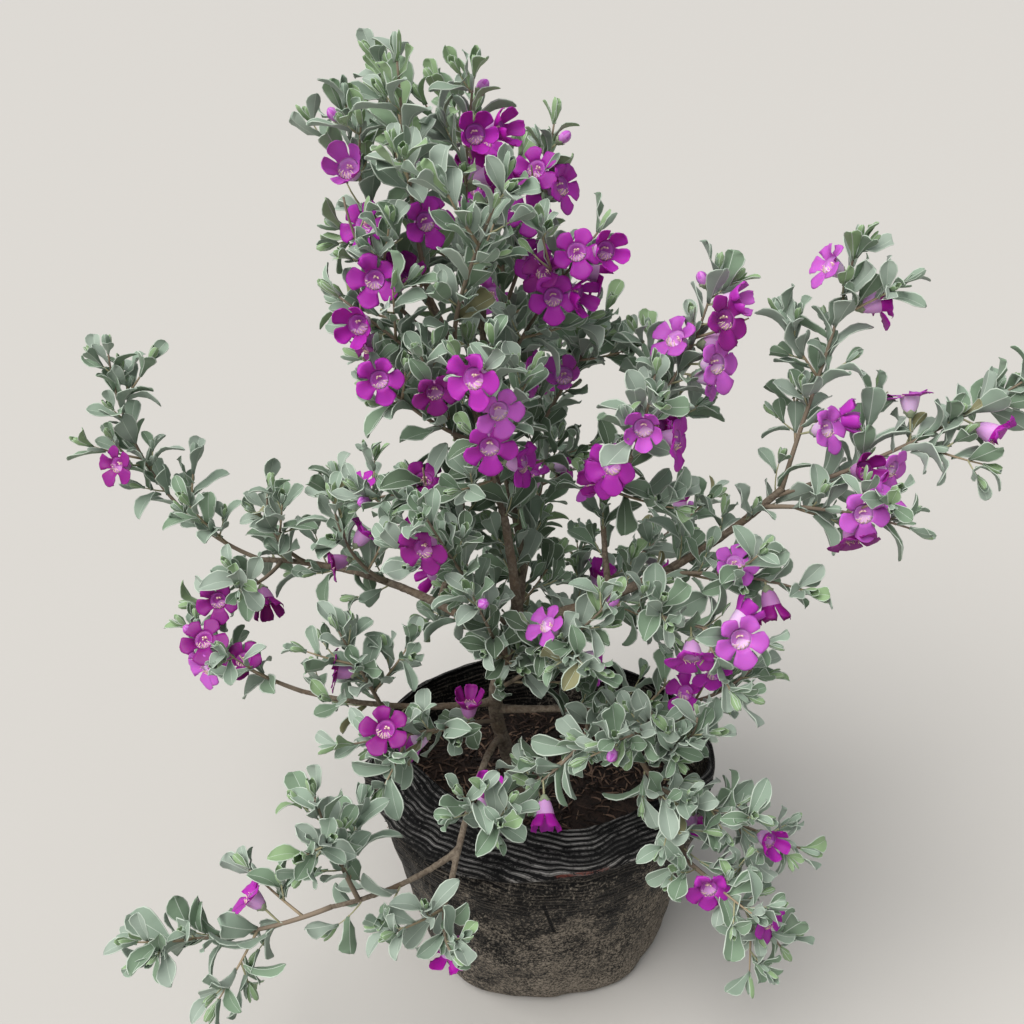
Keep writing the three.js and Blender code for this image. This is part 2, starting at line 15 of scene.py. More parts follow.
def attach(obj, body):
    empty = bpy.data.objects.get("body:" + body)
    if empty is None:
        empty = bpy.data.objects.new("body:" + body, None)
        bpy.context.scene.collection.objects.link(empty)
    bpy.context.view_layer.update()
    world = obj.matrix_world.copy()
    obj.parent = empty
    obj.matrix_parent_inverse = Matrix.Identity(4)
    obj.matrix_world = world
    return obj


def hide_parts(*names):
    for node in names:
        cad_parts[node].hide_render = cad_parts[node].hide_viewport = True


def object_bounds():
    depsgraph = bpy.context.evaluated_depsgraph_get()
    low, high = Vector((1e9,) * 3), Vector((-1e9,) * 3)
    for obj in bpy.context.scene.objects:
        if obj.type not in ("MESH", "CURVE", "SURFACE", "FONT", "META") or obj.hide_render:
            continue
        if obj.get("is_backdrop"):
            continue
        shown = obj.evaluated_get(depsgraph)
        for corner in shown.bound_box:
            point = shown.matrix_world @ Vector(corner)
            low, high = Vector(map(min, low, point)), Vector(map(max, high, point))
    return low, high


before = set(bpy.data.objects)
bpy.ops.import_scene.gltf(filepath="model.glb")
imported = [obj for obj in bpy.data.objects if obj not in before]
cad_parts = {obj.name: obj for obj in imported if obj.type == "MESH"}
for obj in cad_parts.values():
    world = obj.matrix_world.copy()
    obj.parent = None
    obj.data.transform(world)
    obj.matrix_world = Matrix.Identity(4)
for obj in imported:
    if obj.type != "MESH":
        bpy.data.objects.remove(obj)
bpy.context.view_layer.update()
MM = 0.001
ORIGIN = (0, 0, 0)

# %% [markdown]
# ## Where the viewer stands
# The photo looks down on the shrub from a little more than half a metre. The rim and the foot of
# the bag are ellipses, and their two shapes give the pitch of 28 degrees. The lens follows from
# how fast the bag narrows. The view shows colours as they are, without a film curve, because the
# purple of the flowers would fade under one.

# %% Camera
CAMERA_PLACE = (-0.0212, -0.561, 0.652)
CAMERA_PITCH = 28
LENS = 36.04

bpy.ops.object.camera_add(
    location=CAMERA_PLACE, rotation=(math.radians(90 - CAMERA_PITCH), 0, 0))
camera = bpy.context.object
camera.data.lens = LENS
camera.data.sensor_width = 36
camera.data.clip_start = 0.02
bpy.context.scene.camera = camera
bpy.context.scene.view_settings.view_transform = "Standard"
print("camera", tuple(round(x, 3) for x in camera.location))

# %% [markdown]
# ## Studio
# The light of the photo is that of a bright, covered sky. A pale dome of world light fills the
# shade, and one very wide and soft light gives the leaves a top side and the bag its shadow.

# %% Sky
SKY_FROM, SKY_WIDTH, SKY_STRENGTH = (-0.6, -0.5, 1.1), 55, 4.0
SKY_COLOUR, DOME_COLOUR = (1, 0.985, 0.965), (0.95, 0.97, 1, 1)
DOME_STRENGTH = 0.45

bpy.ops.object.light_add(
    type="SUN", location=SKY_FROM, rotation=Vector(SKY_FROM).to_track_quat("Z", "Y").to_euler())
sky = bpy.context.object
sky.name = "bright_sky"
sky.data.angle = math.radians(SKY_WIDTH)
sky.data.energy = SKY_STRENGTH
sky.data.color = SKY_COLOUR
world = bpy.data.worlds.new("covered_sky")
bpy.context.scene.world = world
world.use_nodes = True
dome = world.node_tree.nodes["Background"]
dome.inputs["Color"].default_value = DOME_COLOUR
dome.inputs["Strength"].default_value = DOME_STRENGTH

# %% [markdown]
# ## A short way to write materials
# A material is a sum of simple patterns. To write it as one, a wire wraps a node's output and turns
# a sum, a difference or a product into Math nodes. The reflected forms let 1 - wire work too.

# %% Wires
class Wire:
    """The output of a node. Sums and products with numbers and other wires add Math nodes."""

    def __init__(self, finish, socket):
        self.finish = finish
        self.socket = socket

    def maths(self, operation, *values):
        return self.finish.node("ShaderNodeMath", {"operation": operation}, dict(enumerate(values)))

    def __add__(self, other):
        return self.maths("ADD", self, other)

    def __sub__(self, other):
        return self.maths("SUBTRACT", self, other)

    def __rsub__(self, other):
        return self.maths("SUBTRACT", other, self)

    def __mul__(self, other):
        return self.maths("MULTIPLY", self, other)

    __radd__ = __add__
    __rmul__ = __mul__

    def step(self, low, high):
        """0 below low and 1 above high, and smooth in between."""
        return self.finish.node("ShaderNodeMapRange", {"interpolation_type": "SMOOTHSTEP"}, {
            "Value": self, "From Min": low, "From Max": high})


print("wires know", [name for name in vars(Wire) if callable(getattr(Wire, name))][1:])

# %% [markdown]
# A finish is one material. It makes any node in one call, from its type, its settings and what goes
# into it, and has short names for the few that come again and again: noise, a blend of two colours
# and a relief. Patterns are measured in millimetres on the object, so they stay put on the piece.

# %% Finishes
class Finish:
    """A material under one Principled shader."""

    def __init__(self, name, colour, **sockets):
        self.material = bpy.data.materials.new(name)
        self.material.use_nodes = True
        self.tree = self.material.node_tree
        self.shader = self.tree.nodes["Principled BSDF"]
        self.material.diffuse_color = (*colour, 1)
        self.put({"Base Color": (*colour, 1), **sockets}, self.shader)

    def put(self, inputs, node):
        for key, value in inputs.items():
            socket = node.inputs[key]
            if isinstance(value, Wire):
                self.tree.links.new(value.socket, socket)
            else:
                socket.default_value = value

    def set(self, **sockets):
        self.put({key.replace("_", " "): value for key, value in sockets.items()}, self.shader)
        return self

    def node(self, kind, settings=None, inputs=None, output=0):
        made = self.tree.nodes.new(kind)
        for key, value in (settings or {}).items():
            setattr(made, key, value)
        self.put(inputs or {}, made)
        return Wire(self, made.outputs[output])

    def place(self, scale=(1, 1, 1)):
        """Object coordinates in millimetres, stretched by a scale."""
        here = self.node("ShaderNodeTexCoord", output="Object")
        size = tuple(1000 * x for x in scale)
        return self.node("ShaderNodeMapping", {"vector_type": "POINT"}, {"Vector": here, "Scale": size})

    def axis(self, letter):
        """One of the object's coordinates, in millimetres."""
        return self.node("ShaderNodeSeparateXYZ", None, {"Vector": self.place()}, letter)

    def grain(self, size, detail=3, rough=0.55, scale=(1, 1, 1), warp=0):
        """Noise whose blots are about a size in millimetres across."""
        return self.node("ShaderNodeTexNoise", None, {
            "Vector": self.place(scale), "Scale": 1 / size, "Detail": detail, "Roughness": rough,
            "Distortion": warp})

    def blend(self, factor, first, second):
        """A colour between two, by a factor from 0 to 1."""
        mix = self.tree.nodes.new("ShaderNodeMix")
        mix.data_type = "RGBA"
        self.put({0: factor, 6: first, 7: second}, mix)
        return Wire(self, mix.outputs[2])

    def relief(self, height, depth):
        """A normal from a height, with its depth in millimetres."""
        return self.node("ShaderNodeBump", None, {
            "Height": height, "Distance": depth * MM, "Strength": 1})


print("finishes know", [name for name in vars(Finish) if not name.startswith("_")])

# %% Colours
def paint(red, green, blue):
    """A colour as a screen shows it, 0 to 255, turned into light for the shader."""
    def light(value):
        share = value / 255
        return share / 12.92 if share <= 0.04045 else ((share + 0.055) / 1.055) ** 2.4
    return (light(red), light(green), light(blue))


def full(colour):
    """A colour with nothing see-through about it, as a Mix node wants it."""
    return (*colour, 1)


print("paint check", [round(x, 3) for x in paint(128, 128, 128)])

# %% [markdown]
# The floor is a plain pale sheet, large enough to fill the picture. It isn't part of the shrub, so
# it is marked as stage.

# %% The floor
FLOOR_SIZE = 60

bpy.ops.mesh.primitive_plane_add(size=FLOOR_SIZE)
floor = bpy.context.object
floor.name = "floor"
floor_finish = Finish("pale_floor", paint(186, 183, 178), Roughness=0.9)
floor.data.materials.append(floor_finish.material)
floor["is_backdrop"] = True
print("floor", FLOOR_SIZE, "m wide")

# %% [markdown]
# ## The shrub's skeleton
# A real shrub grows by a few habits: a shoot leaves its parent at an angle, bends towards the
# light and gets thinner. A limb's row gives its name, its parent with the share of the parent's
# length where it leaves, its bend (heading, turn, pitch and lift), its length and its two radii, in
# degrees and millimetres. The source of the solids has the same rows, so the fine shrub stands
# where the solid one does.

# %% Limbs
TRUNK_FOOT = (-15, 0, 119)
LIMBS = [
    ("trunk", None, (-230, 260, 75, 0), 175, (5.4, 4.2)),
    ("leader_left", ("trunk", 1), (145, 25, 85, -20), 210, (3.1, 1.9)),
    ("leader_right", ("trunk", 0.9), (60, 150, 48, 45), 216, (3.3, 1.9)),
    ("right_bough", ("trunk", 0.96), (5, -5, 10, 40), 190, (3.6, 2.1)),
    ("left_bough", ("trunk", 0.85), (145, 25, 20, -25), 190, (3.2, 1.8)),
    ("left_riser", ("left_bough", 0.29), (50, -190, 70, 15), 122, (2, 1.4)),
    ("right_riser", ("right_bough", 0.33), (110, 5, 70, 15), 90, (2.1, 1.5)),
    ("low_left_bough", ("trunk", 0.55), (-160, -30, 5, 5), 130, (2.5, 1.5)),
    ("low_right_bough", ("trunk", 0.5), (-20, 20, 15, -10), 125, (2.7, 1.6)),
    ("front_bough", ("trunk", 0.3), (-100, -5, 48, -90), 152, (2.6, 1.8)),
    ("front_left_bough", ("front_bough", 0.88), (-145, -30, -15, 5), 80, (1.8, 1.4)),
    ("right_front_bough", ("low_right_bough", 0.55), (-60, 10, 10, -80), 120, (2.2, 1.5)),
]
print("limbs", len(LIMBS), "with", sum(row[3] for row in LIMBS), "mm of wood")

# %% [markdown]
# A spray is one leafy shoot with its side twigs. Its row ends with the flowers on it, in place of
# the radii: the share of its length where each sits, the roll round it, and the reach where that
# isn't the usual one.

# %% Sprays of the top and the crown
TOP = [
    ("top_far_left", ("leader_left", 0.94), (150, 15, 40, 45), 112, [(0.5, 0)]),
    ("top_left", ("leader_left", 1), (-145, 30, 80, 5), 110, [(0.35, 345)]),
    ("top_middle", ("leader_right", 0.94), (165, -15, 48, 38), 150, [(0.7, 105)]),
    ("top_front", ("leader_right", 1), (-140, 95, 70, 10), 125, [(0.6, 60)]),
    ("top_back", ("leader_right", 0.8), (40, 140, 65, -5), 170,
     [(0.8, 75), (0.65, 30), (0.65, 120), (0.55, 75), (0.75, 240)]),
    ("top_right", ("leader_right", 0.86), (35, -20, 60, 20), 130, [(0.8, 210), (0.45, 180)]),
]
CROWN = [
    ("crown_right_high", ("leader_right", 0.7), (-70, 65, 62, -8), 130,
     [(0.95, 165), (0.75, 195), (0.9, 285), (0.3, 300)]),
    ("crown_left_high", ("leader_left", 0.84), (-175, 10, 32, 45), 94, [(0.6, 0)]),
    ("crown_left_mid", ("leader_left", 0.7), (-165, 0, 42, 0), 84, [(0.9, 345), (0.75, 285)]),
    ("crown_left_low", ("leader_left", 0.55), (-155, -5, 25, 30), 85, [(0.95, 0)]),
    ("crown_front_high", ("leader_left", 0.8), (-100, 70, 50, 15), 120, []),
    ("crown_front", ("leader_left", 0.42), (-100, 20, 40, 35), 120,
     [(0.95, 225), (0.8, 285), (0.3, 105), (0.35, 345, 24)]),
    ("crown_right_mid", ("leader_right", 0.45), (50, -70, 55, 10), 120, []),
    ("crown_back_high", ("leader_right", 0.55), (95, -5, 35, 40), 150, [(0.7, 75), (0.9, 190)]),
]
print("sprays", len(TOP) + len(CROWN))

# %% Sprays of the two sides and the middle
RIGHT = [
    ("right_riser_top", ("right_riser", 1), (-25, 55, 45, 30), 120,
     [(0.95, 210), (0.75, 255), (0.6, 225, 24), (0.7, 105)]),
    ("right_riser_front", ("right_riser", 0.7), (-80, 10, 35, 40), 120,
     [(0.2, 150), (0.5, 195), (0.85, 240), (0.6, 0, 24)]),
    ("right_tip_up", ("right_bough", 1), (55, -50, 65, 20), 135,
     [(0.95, 90), (0.8, 255, 24), (0.3, 210, 24)]),
    ("right_tip_out", ("right_bough", 0.96), (0, 5, 20, 15), 155,
     [(0.55, 60, 30), (0.75, 210, 24), (0.4, 195)]),
    ("right_tip_low", ("right_bough", 0.91), (-35, 10, 20, -25), 75, [(0.85, 90), (0.7, 225)]),
    ("right_mid_low", ("right_bough", 0.5), (-40, 20, 30, -35), 85, [(0.6, 120), (0.85, 240)]),
    ("right_mid_front", ("right_bough", 0.3), (-60, 35, 20, -20), 105, [(0.95, 150), (0.9, 30)]),
]
CENTRE = [
    ("centre_front", ("trunk", 0.62), (-45, -5, 45, 10), 140, [(0.55, 315, 30), (0.7, 135, 24)]),
    ("centre_rosette", ("trunk", 0.78), (-95, -20, 50, 10), 95, []),
    ("left_centre", ("trunk", 0.93), (-125, -20, 50, 15), 125, [(0.9, 300)]),
]
LEFT = [
    ("left_riser_top", ("left_riser", 1), (-110, 5, 60, -10), 80, [(0.85, 300)]),
    ("left_riser_side", ("left_riser", 0.6), (-130, -35, 55, -60), 60, [(0.6, 60)]),
    ("left_inner", ("left_bough", 0.5), (-135, 0, 40, 40), 75, [(0.5, 240), (0.6, 75)]),
    ("left_middle", ("left_bough", 0.82), (-160, -35, 35, 60), 55, []),
    ("left_tip_low", ("left_bough", 0.92), (-105, -55, -10, 5), 55, [(0.9, 30), (0.45, 330)]),
    ("left_tip", ("left_bough", 1), (175, -25, 20, 70), 170, [(0.6, 0, 28)]),
]
print("sprays", len(RIGHT) + len(CENTRE) + len(LEFT))

# %% Sprays round the rim and behind
LOW = [
    ("low_left_inner", ("low_left_bough", 0.6), (-110, -30, 65, 5), 70, [(0.55, 210)]),
    ("low_left_tip", ("low_left_bough", 1), (165, 5, 10, 30), 75, [(0.9, 45), (0.75, 345), (0.5, 60)]),
    ("low_left_rim", ("trunk", 0.42), (-110, -50, 40, -35), 130, [(0.85, 60), (0.6, 240), (0.35, 90)]),
    ("low_right_rim", ("low_right_bough", 0.75), (-55, -90, 35, -25), 90, []),
    ("low_right_tip", ("low_right_bough", 1), (-60, 50, 35, 15), 55, [(0.3, 135), (0.75, 105)]),
    ("inner_shoot", ("low_right_bough", 0.4), (-35, -155, 35, -90), 90, [(0.95, 330, 24)]),
    ("rim_right", ("right_front_bough", 0.3), (-25, -25, -10, 85), 60, []),
    ("over_rim_right", ("right_front_bough", 0.6), (5, -20, -35, 20), 90, [(0.8, 150), (0.3, 270)]),
    ("over_rim_front_right", ("right_front_bough", 1), (-40, 30, -15, -35), 70,
     [(0.7, 120), (0.2, 150)]),
    ("front_inner", ("front_bough", 0.7), (-50, -30, 20, 20), 50, [(0.3, 75)]),
    ("front_low", ("front_bough", 1), (-115, 40, -45, 45), 34, [(0.8, 285)]),
    ("front_tip", ("front_left_bough", 1), (-170, -15, -20, 15), 105, [(0.3, 105, 28)]),
    ("front_rise", ("front_left_bough", 0.8), (-165, 35, 75, 5), 80, []),
]
BACK = [
    ("back_top", ("trunk", 0.97), (85, -15, -10, 95), 245, [(0.85, 80), (0.6, 200)]),
    ("back_left", ("trunk", 0.8), (100, 45, -5, 25), 245, [(0.9, 60), (0.7, 200), (0.5, 300)]),
    ("back_right", ("trunk", 0.72), (60, -20, -5, 20), 260,
     [(0.65, 210, 24), (0.9, 60), (0.45, 100)]),
]
SPRAYS = TOP + CROWN + RIGHT + CENTRE + LEFT + LOW + BACK
missing = sorted({row[0] for row in SPRAYS + LIMBS} - set(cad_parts))
print("sprays", len(SPRAYS), "flowers", sum(len(row[4]) for row in SPRAYS), "missing", missing)

# %% [markdown]
# The solids have fewer flowers than the shrub. These are the others, each again a share of the
# spray's length, a roll and perhaps a reach.

# %% More flowers
MORE_BLOOMS = {
    "top_far_left": [(0.75, 15, 24)],
    "top_middle": [(0.45, 60)],
    "top_front": [(0.85, 300, 24), (0.85, 255), (0.65, 330)],
    "top_right": [(0.85, 135), (0.65, 135)],
    "crown_right_high": [(0.8, 135), (0.8, 240), (1, 195, 30)],
    "crown_left_high": [(0.5, 60)],
    "crown_right_mid": [(0.65, 150)],
    "crown_front": [(0.6, 270)],
    "right_riser_front": [(0.35, 180), (0.6, 210, 24), (0.75, 315, 24)],
    "right_riser_top": [(0.3, 210), (0.85, 180, 24), (0.65, 195, 30)],
    "right_mid_front": [(0.7, 210, 24)],
    "right_tip_out": [(0.3, 165)],
    "right_tip_low": [(0.75, 150)],
    "right_tip_up": [(0.25, 165, 24)],
    "back_top": [(0.5, 75, 24)],
}
print("more flowers", sum(map(len, MORE_BLOOMS.values())))

# %% [markdown]
# An axis is the line a shoot grows on. Its heading and pitch change evenly, and a side shoot leaves
# it at a spread and a roll. It is cut into short straight steps, which are quick to measure.

# %% Axes
ARC_STEPS = 24


def heading(azimuth, pitch):
    level = math.cos(math.radians(pitch))
    return Vector((level * math.cos(math.radians(azimuth)),
                   level * math.sin(math.radians(azimuth)), math.sin(math.radians(pitch))))


class Axis:
    """A bent line from a point, with its bend in degrees and its length in millimetres."""

    def __init__(self, start, bend, length):
        self.bend = bend
        self.length = length
        self.points = [Vector(start)]
        for i in range(ARC_STEPS):
            step = self.tangent((i + 0.5) / ARC_STEPS) * (length / ARC_STEPS)
            self.points.append(self.points[-1] + step)

    def tangent(self, share):
        azimuth, turn, pitch, lift = self.bend
        return heading(azimuth + turn * share, pitch + lift * share)

    def point(self, share):
        whole = min(int(share * ARC_STEPS), ARC_STEPS - 1)
        return self.points[whole].lerp(self.points[whole + 1], share * ARC_STEPS - whole)

    def sides(self, share):
        """Two directions square to the line, the first of them level."""
        side = heading(self.bend[0] + self.bend[1] * share + 90, 0)
        return side, self.tangent(share).cross(side)

    def leaving(self, share, spread, roll):
        """The direction of a side shoot, at a spread from the line and a roll round it."""
        side, over = self.sides(share)
        out = side * math.cos(math.radians(roll)) + over * math.sin(math.radians(roll))
        lean = math.radians(spread)
        return self.tangent(share) * math.cos(lean) + out * math.sin(lean)


limbs, stems = {}, {}
for name, parent, bend, length, radii in LIMBS:
    start = limbs[parent[0]][0].point(parent[1]) if parent else TRUNK_FOOT
    limbs[name] = (Axis(start, bend, length), radii)
for name, parent, bend, length, _ in SPRAYS:
    stems[name] = Axis(limbs[parent[0]][0].point(parent[1]), bend, length)
print("highest stem tip", round(max(axis.points[-1].z for axis in stems.values())), "mm")

# %% [markdown]
# Each spray keeps its own space, as it does in the solids: a twig that would come nearer to another
# spray's stem, to a limb or to the bag is shortened or left out. The steps of all the axes stand in
# one array, so the distance to all of them is one sum.

# %% Distance to the wood
ROOM, LIMB_ROOM = 0.9, 1.2

axes = [axis for axis, _ in limbs.values()] + list(stems.values())
starts = np.array([[axis.points[i] for i in range(0, ARC_STEPS, 2)] for axis in axes])
ends = np.array([[axis.points[i + 2] for i in range(0, ARC_STEPS, 2)] for axis in axes])
spans = ends - starts
span_squares = (spans ** 2).sum(2)
limb_shares = (np.arange(0, ARC_STEPS, 2) + 1) / ARC_STEPS
limb_radii = np.array([foot + (tip - foot) * limb_shares for _, (foot, tip) in limbs.values()])


def distances(point):
    """From a point to each limb's bark and to each stem's line."""
    reach = np.array(point) - starts
    share = np.clip((reach * spans).sum(2) / span_squares, 0, 1)
    away = np.linalg.norm(reach - share[..., None] * spans, axis=2)
    count = len(limbs)
    return (away[:count] - limb_radii).min(1), away[count:].min(1)


print("lines", starts.shape[0] * starts.shape[1])

# %% [markdown]
# The bag is oval, and its collar is turned in at the front and left. These few sizes say where its
# film is, for the leaves that have to stay clear of it now and for the bag itself later on.

# %% Clear of the bag
BAG_FOOT, BAG_RIM, BAG_DEPTH, RIM_HEIGHT = 92, 120, 110 / 120, 166
COLLAR_TUCK, TUCK_HEADING, LIP_RADIUS = 26, -105, 116
TUCK_FROM, TUCK_FULL = -0.1, 0.6
SOIL_TOP = 119
WIDE_FOLD, WIDE_FOLD_TUCK = (-128, 34), 9
BAG_ROOM = 6


def bump_at(angle, middle, width):
    """A smooth bump of 1 round the bag. The angle is in radians, its middle and width in degrees."""
    away = (math.degrees(angle) - middle + 180) % 360 - 180
    return math.exp(-(away / width) ** 2)


def tuck_at(angle):
    """How far the collar is turned in, from 0 at the back to 1 at the front."""
    towards = math.cos(angle - math.radians(TUCK_HEADING))
    share = min(max((towards - TUCK_FROM) / (TUCK_FULL - TUCK_FROM), 0), 1)
    return share * share * (3 - 2 * share)


def clear_of_bag(point, room=BAG_ROOM, wide_fold=0.0):
    """Whether a point keeps some room from the film and the mix."""
    x, y, z = point[0], point[1] / BAG_DEPTH, point[2]
    radius, angle = math.hypot(x, y), math.atan2(y, x)
    if z < room:
        return False
    if z > RIM_HEIGHT + room or radius > BAG_FOOT + (BAG_RIM - BAG_FOOT) * z / RIM_HEIGHT + room:
        return True
    lip = LIP_RADIUS - COLLAR_TUCK * tuck_at(angle) - wide_fold * bump_at(angle, *WIDE_FOLD)
    return z > SOIL_TOP + room and radius < lip - room


def keeps_to(index, points):
    """Whether the points are free, and nearer to the stem with this index than to any other."""
    for point in points:
        if not clear_of_bag(point):
            return False
        bark, lines = distances(point)
        own = lines[index]
        others = np.delete(lines, index)
        if bark.min() < LIMB_ROOM or others.min() < own + ROOM:
            return False
    return True


print("turned in at the front", round(COLLAR_TUCK * tuck_at(math.radians(TUCK_HEADING))), "mm")

# %% [markdown]
# The side twigs follow the rule of the solids, number for number. Each leaves its stem by the golden
# angle, as on most plants, and chance moves it a little. The dice gives the same numbers on each
# run, so the shrub never changes.

# %% Dice and side twigs
DICE_FACES = 2 ** 32
DICE_SPREAD, DICE_STEP, DICE_SHIFT = 2654435761, 1664525, 1013904223
TWIG_SEED = 11
GOLDEN_ANGLE = 137.5
TWIG_SPACING, TWIG_LENGTH, TWIG_SPREAD = 42, 40, 52
TWIG_CUTS, TWIG_PROBES = (1, 0.75, 0.5), (0.4, 0.7, 1)


def dice(seed):
    """A source of numbers by chance, which a seed sets going."""
    state = (seed * DICE_SPREAD) % DICE_FACES

    def roll(low=0.0, high=1.0):
        nonlocal state
        state = (state * DICE_STEP + DICE_SHIFT) % DICE_FACES
        return low + (high - low) * state / DICE_FACES
    return roll


def facing(roll, sides):
    """The middle of the side that a roll falls on, for a stem with so many sides."""
    first = 180 / sides - 90
    return first + 360 / sides * math.floor((roll - first) * sides / 360 + 0.5)


def bend_of(along, turn=0.0, lift=0.0):
    """The bend of an axis that starts in a direction."""
    azimuth = math.degrees(math.atan2(along.y, along.x))
    return (azimuth, turn, math.degrees(math.asin(max(-1, min(1, along.z)))), lift)


def twigs_of(index, stem):
    roll = dice(index + TWIG_SEED)
    count = max(1, math.floor(stem.length / TWIG_SPACING + 0.5))
    start = 360 * roll()
    twigs = []
    for i in range(count):
        share = (i + 0.4 + 0.4 * roll()) / (count + 0.4)
        along = stem.leaving(share, TWIG_SPREAD, facing(start + GOLDEN_ANGLE * i, 4))
        length = TWIG_LENGTH * (1 - 0.4 * share) * (0.8 + 0.4 * roll())
        for cut in TWIG_CUTS:
            twig = Axis(stem.point(share), bend_of(along), length * cut)
            if keeps_to(index, [twig.point(at) for at in TWIG_PROBES]):
                twigs.append(twig)
                break
    return twigs


twigs = {name: twigs_of(i, stem) for i, (name, stem) in enumerate(stems.items())}
print("twigs", sum(len(t) for t in twigs.values()))

# %% [markdown]
# ## Shapes that repeat
# A few leaves and flowers are modelled once, in edit mode. The leaves are then set on the shrub
# several thousand times in all, and the flowers about a hundred times. The copies are gathered in a
# heap, which makes one joined mesh of them. Each copy may take another set of materials, and so the
# leaves get their tones.

# %% Choosing and finishing shapes
def blank(materials):
    """The new primitive, with so many material slots."""
    shape = bpy.context.object
    for i in range(materials):
        name = f"slot_{i}"
        shape.data.materials.append(bpy.data.materials.get(name) or bpy.data.materials.new(name))
    return shape


def choose(test, kind="VERT"):
    """In edit mode, selects the corners, or the faces by their middle, that pass a test."""
    bpy.ops.mesh.select_mode(type=kind)
    bpy.ops.mesh.select_all(action="DESELECT")
    form = bmesh.from_edit_mesh(bpy.context.edit_object.data)
    for item in form.verts if kind == "VERT" else form.faces:
        place = item.co if kind == "VERT" else item.calc_center_median()
        item.select_set(bool(test(place)))
    form.select_flush_mode()
    bmesh.update_edit_mesh(bpy.context.edit_object.data)


def give_slot(slot, test):
    """In edit mode, gives the faces that pass a test to a material slot."""
    choose(test, "FACE")
    bpy.context.object.active_material_index = slot
    bpy.ops.object.material_slot_assign()


def pick(shape):
    """Selects one object and nothing else, for the operators that follow."""
    bpy.ops.object.select_all(action="DESELECT")
    shape.select_set(True)
    bpy.context.view_layer.objects.active = shape


def apply_all(shape):
    for modifier in list(shape.modifiers):
        bpy.ops.object.modifier_apply(modifier=modifier.name)


def thicken(shape, thickness, offset, slot_shift=0):
    """Gives a sheet a thickness. The new inner faces may take a later material slot."""
    solid = shape.modifiers.new("solid", "SOLIDIFY")
    solid.thickness, solid.offset, solid.material_offset = thickness, offset, slot_shift
    apply_all(shape)


def take(shape):
    """A modelled shape as arrays, and off the scene."""
    mesh = shape.data
    points = np.array([corner.co for corner in mesh.vertices])
    faces = [tuple(face.vertices) for face in mesh.polygons]
    slots = [face.material_index for face in mesh.polygons]
    bpy.data.objects.remove(shape)
    return points, faces, slots


print("shape tools", [tool.__name__ for tool in (blank, choose, give_slot, pick, thicken, take)])

# %% Heaps of copies
class Heap:
    """Copies of shapes in millimetres, to become one piece."""

    def __init__(self):
        self.points, self.faces, self.slots, self.count, self.copies = [], [], [], 0, 0

    def add(self, shape, matrix=None, slots=None):
        points, faces, own = shape
        if matrix is not None:
            grid = np.array(matrix)
            points = points @ grid[:3, :3].T + grid[:3, 3]
        self.points.append(points)
        self.faces.extend([tuple(i + self.count for i in face) for face in faces])
        self.slots.extend(own if slots is None else [slots[i] for i in own])
        self.count += len(points)
        self.copies += 1

    def make(self, name, finishes):
        mesh = bpy.data.meshes.new(name)
        mesh.from_pydata((np.concatenate(self.points) * MM).tolist(), [], self.faces)
        for finish in finishes:
            mesh.materials.append(finish.material)
        mesh.polygons.foreach_set("material_index", self.slots)
        mesh.shade_smooth()
        mesh.update()
        made = bpy.data.objects.new(name, mesh)
        bpy.context.scene.collection.objects.link(made)
        return made


print("heap tools", [name for name in vars(Heap) if not name.startswith("_")])

# %% [markdown]
# ## One leaf
# The leaf is a small spoon: a narrow foot, broadest past its middle and blunt at the tip, with a
# pale felted margin and midrib. A grid is pulled to that outline row by row, its midrib pressed down
# and its edges lifted and waved, and Solidify gives it an underside and a rim. An outline filled
# with one face couldn't cup or wave, and a finer grid would be too heavy to copy so often.

# %% Leaf shapes
LEAF_ROWS = [(0, 0.03), (0.17, 0.07), (0.36, 0.145), (0.55, 0.22), (0.72, 0.262), (0.86, 0.24),
             (0.96, 0.15), (1, 0.05)]
YOUNG_ROWS = [(0, 0.05), (0.3, 0.14), (0.62, 0.25), (0.86, 0.2), (1, 0.07)]
LEAF_THICKNESS = 0.018
LEAF_SLOTS, PALE = 2, 1
LEAF_COLUMNS, OUTER_COLUMN, INNER_COLUMN = 5, 0.3, 0.1
MARGIN, MIDRIB, MIDRIB_DIP = 0.91, 0.02, 0.035


